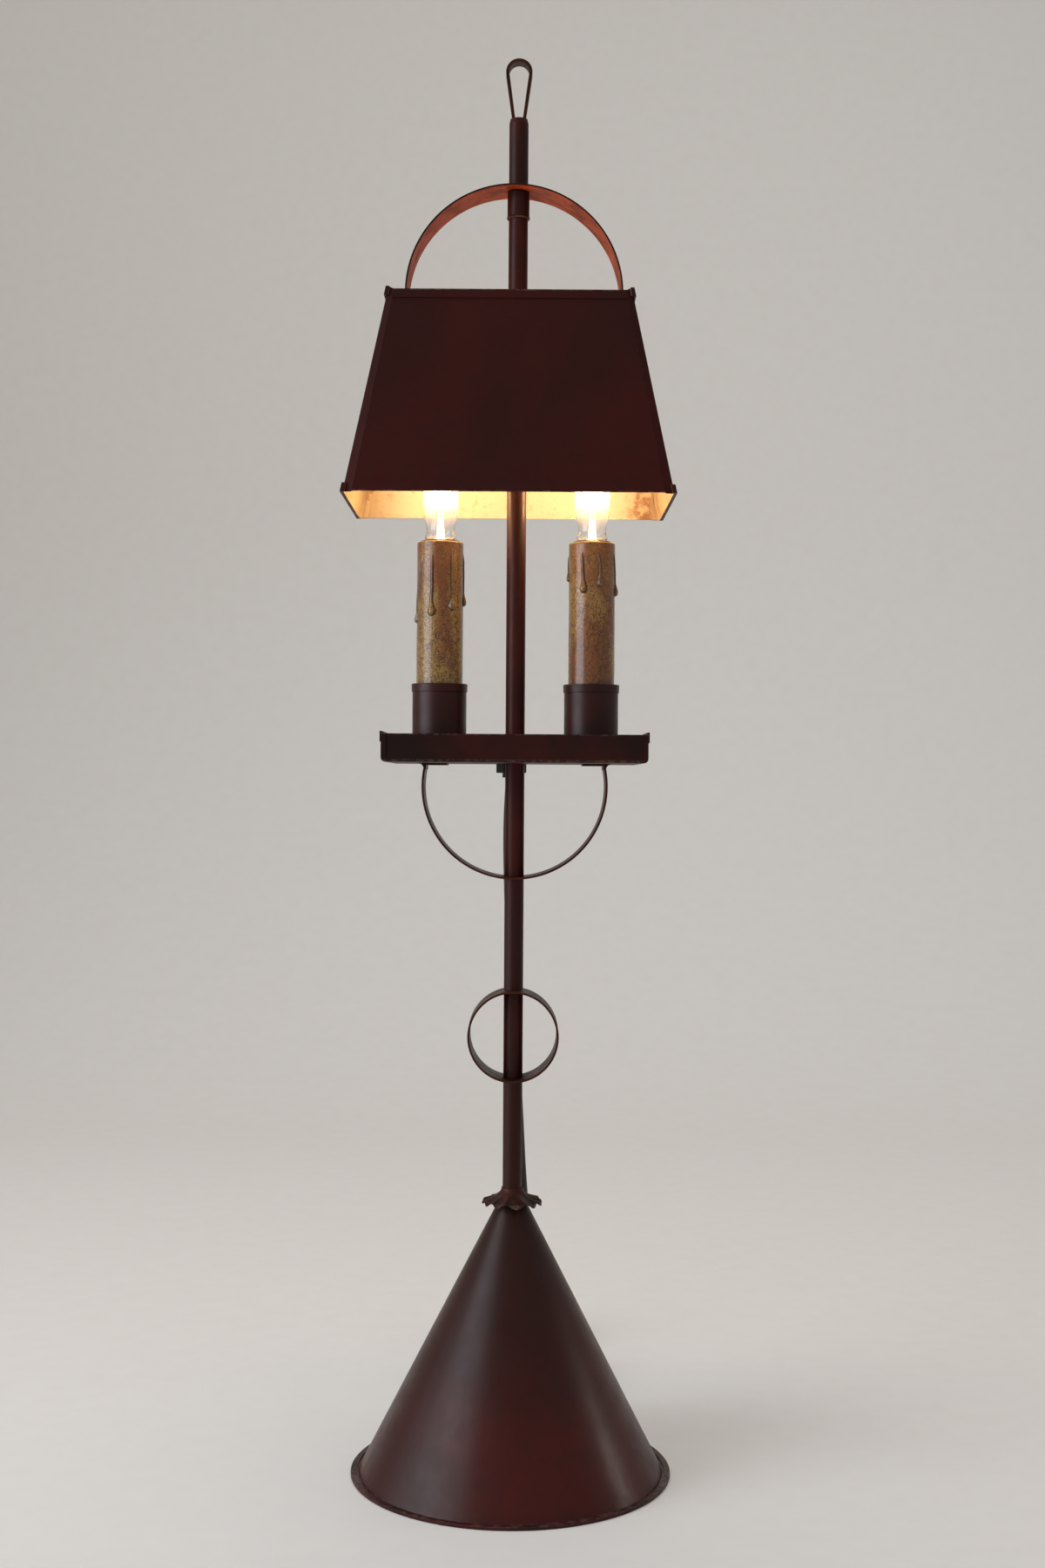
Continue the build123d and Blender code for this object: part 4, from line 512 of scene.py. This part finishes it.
def drip_at(drip, angle, z, top_z, length):
    """How far one drip stands out at a point of the candle's side, and how dark its outline is there."""
    top_angle, foot_angle, share, bead = drip
    bead *= MM
    start_z = top_z - DRIP_START
    centre_z = top_z - share * length + bead
    run = (start_z - z) / (start_z - centre_z)
    if run < 0 or z < centre_z - bead - OUTLINE:
        return 0.0, 0.0
    sway = DRIP_SWAY * noise.noise(Vector((top_angle, run * 3, 1)))
    turn = top_angle + (foot_angle - top_angle) * smooth(run) + sway * smooth(3 - 3 * run)
    across = (angle - math.radians(turn) + math.pi) % (2 * math.pi) - math.pi
    across *= CANDLE_RADIUS
    if z < centre_z:
        width = bead
        away = math.hypot(across, z - centre_z)
    else:
        width = THREAD * smooth(run * 4) + (bead - THREAD) * smooth(1 - (z - centre_z) / (BEAD_NECK * bead))
        away = abs(across)
    if width < THINNEST:
        return 0.0, 0.0
    rise = DRIP_RISE * math.sqrt(max(0.0, width ** 2 - away ** 2))
    dark = smooth(1 - abs(away - width) / OUTLINE) * smooth(run * 3)
    return rise, dark


def candle_rows(low_z, high_z):
    """Heights of the mesh's rows: a few for the rounded rim, close together where the drips run."""
    rows = [low_z]
    while rows[-1] < high_z - DRIPPED_LENGTH:
        rows.append(rows[-1] + PLAIN_ROW)
    while rows[-1] < high_z - CANDLE_EDGE - DRIP_ROW:
        rows.append(rows[-1] + DRIP_ROW)
    return rows + [high_z - CANDLE_EDGE * share for share in (1.0, 0.6, 0.3, 0.1, 0.0)]


def wall_radius(angle, z, top_z, shift):
    """Radius of the candle's side between its drips: a rounded rim, and a slow wobble below it."""
    rim = max(0.0, 1 - (top_z - z) / CANDLE_EDGE)
    rounding = CANDLE_EDGE * (1 - math.sqrt(1 - rim ** 2)) * 0.5
    here = Vector((math.cos(angle) * WOBBLE_ROUND, math.sin(angle) * WOBBLE_ROUND, z * WOBBLE_UP))
    wobble = WOBBLE * noise.noise(here + shift) + FINE_WOBBLE * noise.noise(here * FINER + shift)
    return CANDLE_RADIUS - rounding + wobble * smooth((top_z - z) / WOBBLE_START)


def candle_points(side, x, rows):
    """The tube's points, ring by ring, and the grime at each: up the outer wall, then down the bore."""
    low_z, top_z = rows[0], rows[-1]
    shift = Vector(WAX_SHIFT[side])
    turns = [2 * math.pi * k / AROUND for k in range(AROUND)]
    points, grime = [], []
    for z in rows:
        for angle in turns:
            drips = [drip_at(drip, angle, z, top_z, top_z - low_z) for drip in DRIPS[side]]
            out = wall_radius(angle, z, top_z, shift) + max(rise for rise, dark in drips)
            points.append((x + out * math.cos(angle), out * math.sin(angle), z))
            grime.append(max(dark for rise, dark in drips))
    for z in (top_z, low_z):
        for angle in turns:
            points.append((x + CANDLE_BORE * math.cos(angle), CANDLE_BORE * math.sin(angle), z))
            grime.append(0.0)
    return points, grime


def ring_faces(rings):
    """Quads between neighbouring rings, and from the last ring back to the first."""
    faces = []
    for ring in range(rings):
        here, above = ring * AROUND, (ring + 1) % rings * AROUND
        for k in range(AROUND):
            beside = (k + 1) % AROUND
            faces.append((here + k, here + beside, above + beside, above + k))
    return faces


def candle(side):
    """Wax-dripped resin tube: an open tube whose outer wall is pushed out along each drip."""
    low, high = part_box("candle_sleeve_" + side)
    rows = candle_rows(low.z, high.z)
    points, grime = candle_points(side, middle("socket_body_" + side).x, rows)
    mesh = smooth_mesh("candle_" + side, points, ring_faces(len(rows) + 2))
    mesh.attributes.new("grime", "FLOAT", "POINT").data.foreach_set("value", grime)
    mesh.materials.append(wax("candle_resin_" + side, WAX_SHIFT[side], high.z))
    piece = add_object("candle_" + side, mesh)
    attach(piece, "stand")
    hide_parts("candle_sleeve_" + side)


for side in SIDES:
    candle(side)

# ---------------------------------------------------------------- the flex
# Control points in millimetres: down from the tray behind the stem, then back along the floor
ROUTE = [
    (-2.0, 16.5, 380.5), (-3.1, 16.6, 363.0), (-3.7, 17.1, 339.0), (-2.4, 17.8, 296.0),
    (0.2, 18.2, 240.0), (3.0, 19.2, 192.0), (5.2, 22.4, 150.0), (9.0, 33.0, 112.0),
    (15.5, 52.0, 74.0), (22.0, 70.0, 38.5), (26.5, 83.0, 19.8), (29.4, 97.0, 9.8),
    (30.4, 111.0, 6.3), (30.4, 120.0, 6.3), (30.4, 153.0, 6.3), (30.4, 186.0, 6.3),
    (30.4, 195.6, 6.3), (30.4, 206.4, 3.1), (30.4, 216.0, 3.1), (30.4, 236.0, 3.1),
]
COIL_CENTRE, COIL_TURNS, PER_TURN = (-5.0, 246.0), 6.5, 12
# Radius and height of the turns: value at the start, then (turn where it starts to change, turn where
# it ends, value after)
COIL_RADII = (35.4, [(0.7, 1.0, 30.0), (1.7, 2.0, 24.6), (3.7, 4.0, 30.0), (4.7, 5.0, 35.4),
                     (5.75, 6.0, 30.0)])
COIL_HEIGHTS = (3.1, [(2.7, 3.0, 8.5), (5.5, 5.75, 13.9)])
# From the coil to the plug
LEAD = [
    (-35.0, 236.0, 13.9), (-35.0, 216.0, 13.9), (-35.0, 202.66, 13.9), (-35.0, 183.34, 6.1),
    (-35.0, 170.0, 6.1), (-35.0, 168.0, 6.1),
]
CORD_DIAMETER = 5.4 * MM


def stepped(plan, turn):
    """The radius or height that a plan gives at a turn of the coil."""
    value, steps = plan
    for start, end, after in steps:
        value += (after - value) * smooth((turn - start) / (end - start))
    return value


def coil_points():
    """Control points of the wound length: a quadratic spline runs just inside them."""
    grow = 1 / math.cos(math.pi / PER_TURN)
    centre_x, centre_y = COIL_CENTRE
    made = []
    for k in range(1, int(COIL_TURNS * PER_TURN)):
        turn = k / PER_TURN
        angle = 2 * math.pi * turn
        radius = stepped(COIL_RADII, turn) * grow
        made.append((centre_x + radius * math.cos(angle), centre_y + radius * math.sin(angle),
                     stepped(COIL_HEIGHTS, turn)))
    return made


def flex_cord():
    """The whole cord as one smooth spline, with the switch and the plug on it."""
    curve = bpy.data.curves.new("flex_cord", "CURVE")
    curve.dimensions = "3D"
    spline = curve.splines.new("NURBS")
    line = ROUTE + coil_points() + LEAD
    spline.points.add(len(line) - 1)
    for point, (x, y, z) in zip(spline.points, line):
        point.co = (x * MM, y * MM, z * MM, 1)
    spline.order_u = 3
    spline.use_endpoint_u = True
    spline.resolution_u = 8
    curve.bevel_depth = CORD_DIAMETER / 2
    curve.bevel_resolution = 6
    curve.use_fill_caps = True
    curve.materials.append(flex)
    piece = add_object("flex_cord", curve)
    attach(piece, "stand")
    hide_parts("lamp_cord", "cord_tail", "plug_lead", "cord_coil")


flex_cord()


# ---------------------------------------------------------------- floor, light and camera
FLOOR_HALF_WIDTH, FLOOR_FRONT_Y = 3.5, -3.0
WALL_Y, WALL_TOP_Z = 1.8, 3.2
SWEEP, SWEEP_STEPS = 0.8, 16        # radius of the curve from floor to wall, and its number of flats
BULB_POWER, BULB_COLOUR = 0.18, (1.0, 0.60, 0.27)
BULB_LIGHT_RADIUS = 7 * MM
SKY_COLOUR, SKY_STRENGTH = (0.86, 0.85, 0.84, 1), 0.40
CAMERA_PLACE, CAMERA_ROLL = (0.0042, -1.048, 0.371), 0.0065
CAMERA_LENS, CAMERA_SENSOR = 44.5, 36.0


def backdrop():
    """Pale floor that sweeps up into the wall behind."""
    turns = [math.pi / 2 * k / SWEEP_STEPS for k in range(SWEEP_STEPS + 1)]
    line = [(FLOOR_FRONT_Y, 0.0)]
    line += [(WALL_Y - SWEEP + SWEEP * math.sin(turn), SWEEP - SWEEP * math.cos(turn)) for turn in turns]
    line.append((WALL_Y, WALL_TOP_Z))
    points, faces = [], []
    for y, z in line:
        points += [(-FLOOR_HALF_WIDTH, y, z), (FLOOR_HALF_WIDTH, y, z)]
    for k in range(len(line) - 1):
        faces.append((2 * k, 2 * k + 1, 2 * k + 3, 2 * k + 2))
    mesh = smooth_mesh("floor", points, faces)
    g = Graph("floor_finish")
    tone = g.mix(g.noise(60, 3.0), srgb(240, 236, 231), srgb(245, 242, 237))
    mesh.materials.append(g.finish(tone, 0.75))
    add_object("floor", mesh)


def light(name, kind, place, power, colour):
    """A lamp of this kind and power, in watts."""
    data = bpy.data.lights.new(name, kind)
    data.energy = power
    data.color = colour
    lamp = add_object(name, data)
    lamp.location = place
    return lamp


def soft_light(name, place, aim, size, power, colour, spread=180):
    """A soft box; a spread under 180 degrees keeps its light off the floor beside it."""
    lamp = light(name, "AREA", place, power, colour)
    lamp.data.shape = "RECTANGLE"
    lamp.data.spread = math.radians(spread)
    lamp.data.size, lamp.data.size_y = size
    lamp.rotation_euler = (Vector(aim) - Vector(place)).to_track_quat("-Z", "Y").to_euler()
    lamp.visible_camera = False


def lights():
    """A large cool light from the left front, small ones low at both sides, one above, and the bulbs."""
    soft_light("key", place=(-1.56, -0.80, 0.72), aim=(0, 0, 0.25), size=(1.5, 1.3), power=6.8,
               colour=(0.90, 0.93, 1.0), spread=90)
    soft_light("low_left", place=(-0.72, 0.03, 0.20), aim=(0, 0, 0.03), size=(0.30, 0.20), power=0.022,
               colour=(0.88, 0.90, 1.0), spread=50)
    soft_light("low_right", place=(0.50, 0.01, 0.145), aim=(0.04, 0, 0.05), size=(0.05, 0.05), power=0.008,
               colour=(1.0, 0.93, 0.82), spread=30)
    soft_light("top", place=(0.0, 0.2, 2.2), aim=(0, 0, 0), size=(2.0, 2.0), power=12,
               colour=(1.0, 0.98, 0.96))
    for side in SIDES:
        lamp = light("bulb_light_" + side, "POINT", middle("bulb_glass_" + side), BULB_POWER, BULB_COLOUR)
        lamp.data.shadow_soft_size = BULB_LIGHT_RADIUS


def sky():
    """Even light from all round."""
    world = bpy.data.worlds.new("studio")
    world.use_nodes = True
    background = world.node_tree.nodes["Background"]
    background.inputs["Color"].default_value = SKY_COLOUR
    background.inputs["Strength"].default_value = SKY_STRENGTH
    bpy.context.scene.world = world
    bpy.context.scene.view_settings.view_transform = "Standard"


def view():
    """The camera: level, in front of the lamp and rolled by 0.37 degrees."""
    data = bpy.data.cameras.new("camera")
    data.sensor_width = CAMERA_SENSOR
    data.lens = CAMERA_LENS
    camera = add_object("camera", data)
    level = Matrix.Rotation(math.pi / 2, 4, "X")
    camera.matrix_world = Matrix.Translation(CAMERA_PLACE) @ level @ Matrix.Rotation(CAMERA_ROLL, 4, "Z")
    bpy.context.scene.camera = camera


backdrop()
lights()
sky()
view()
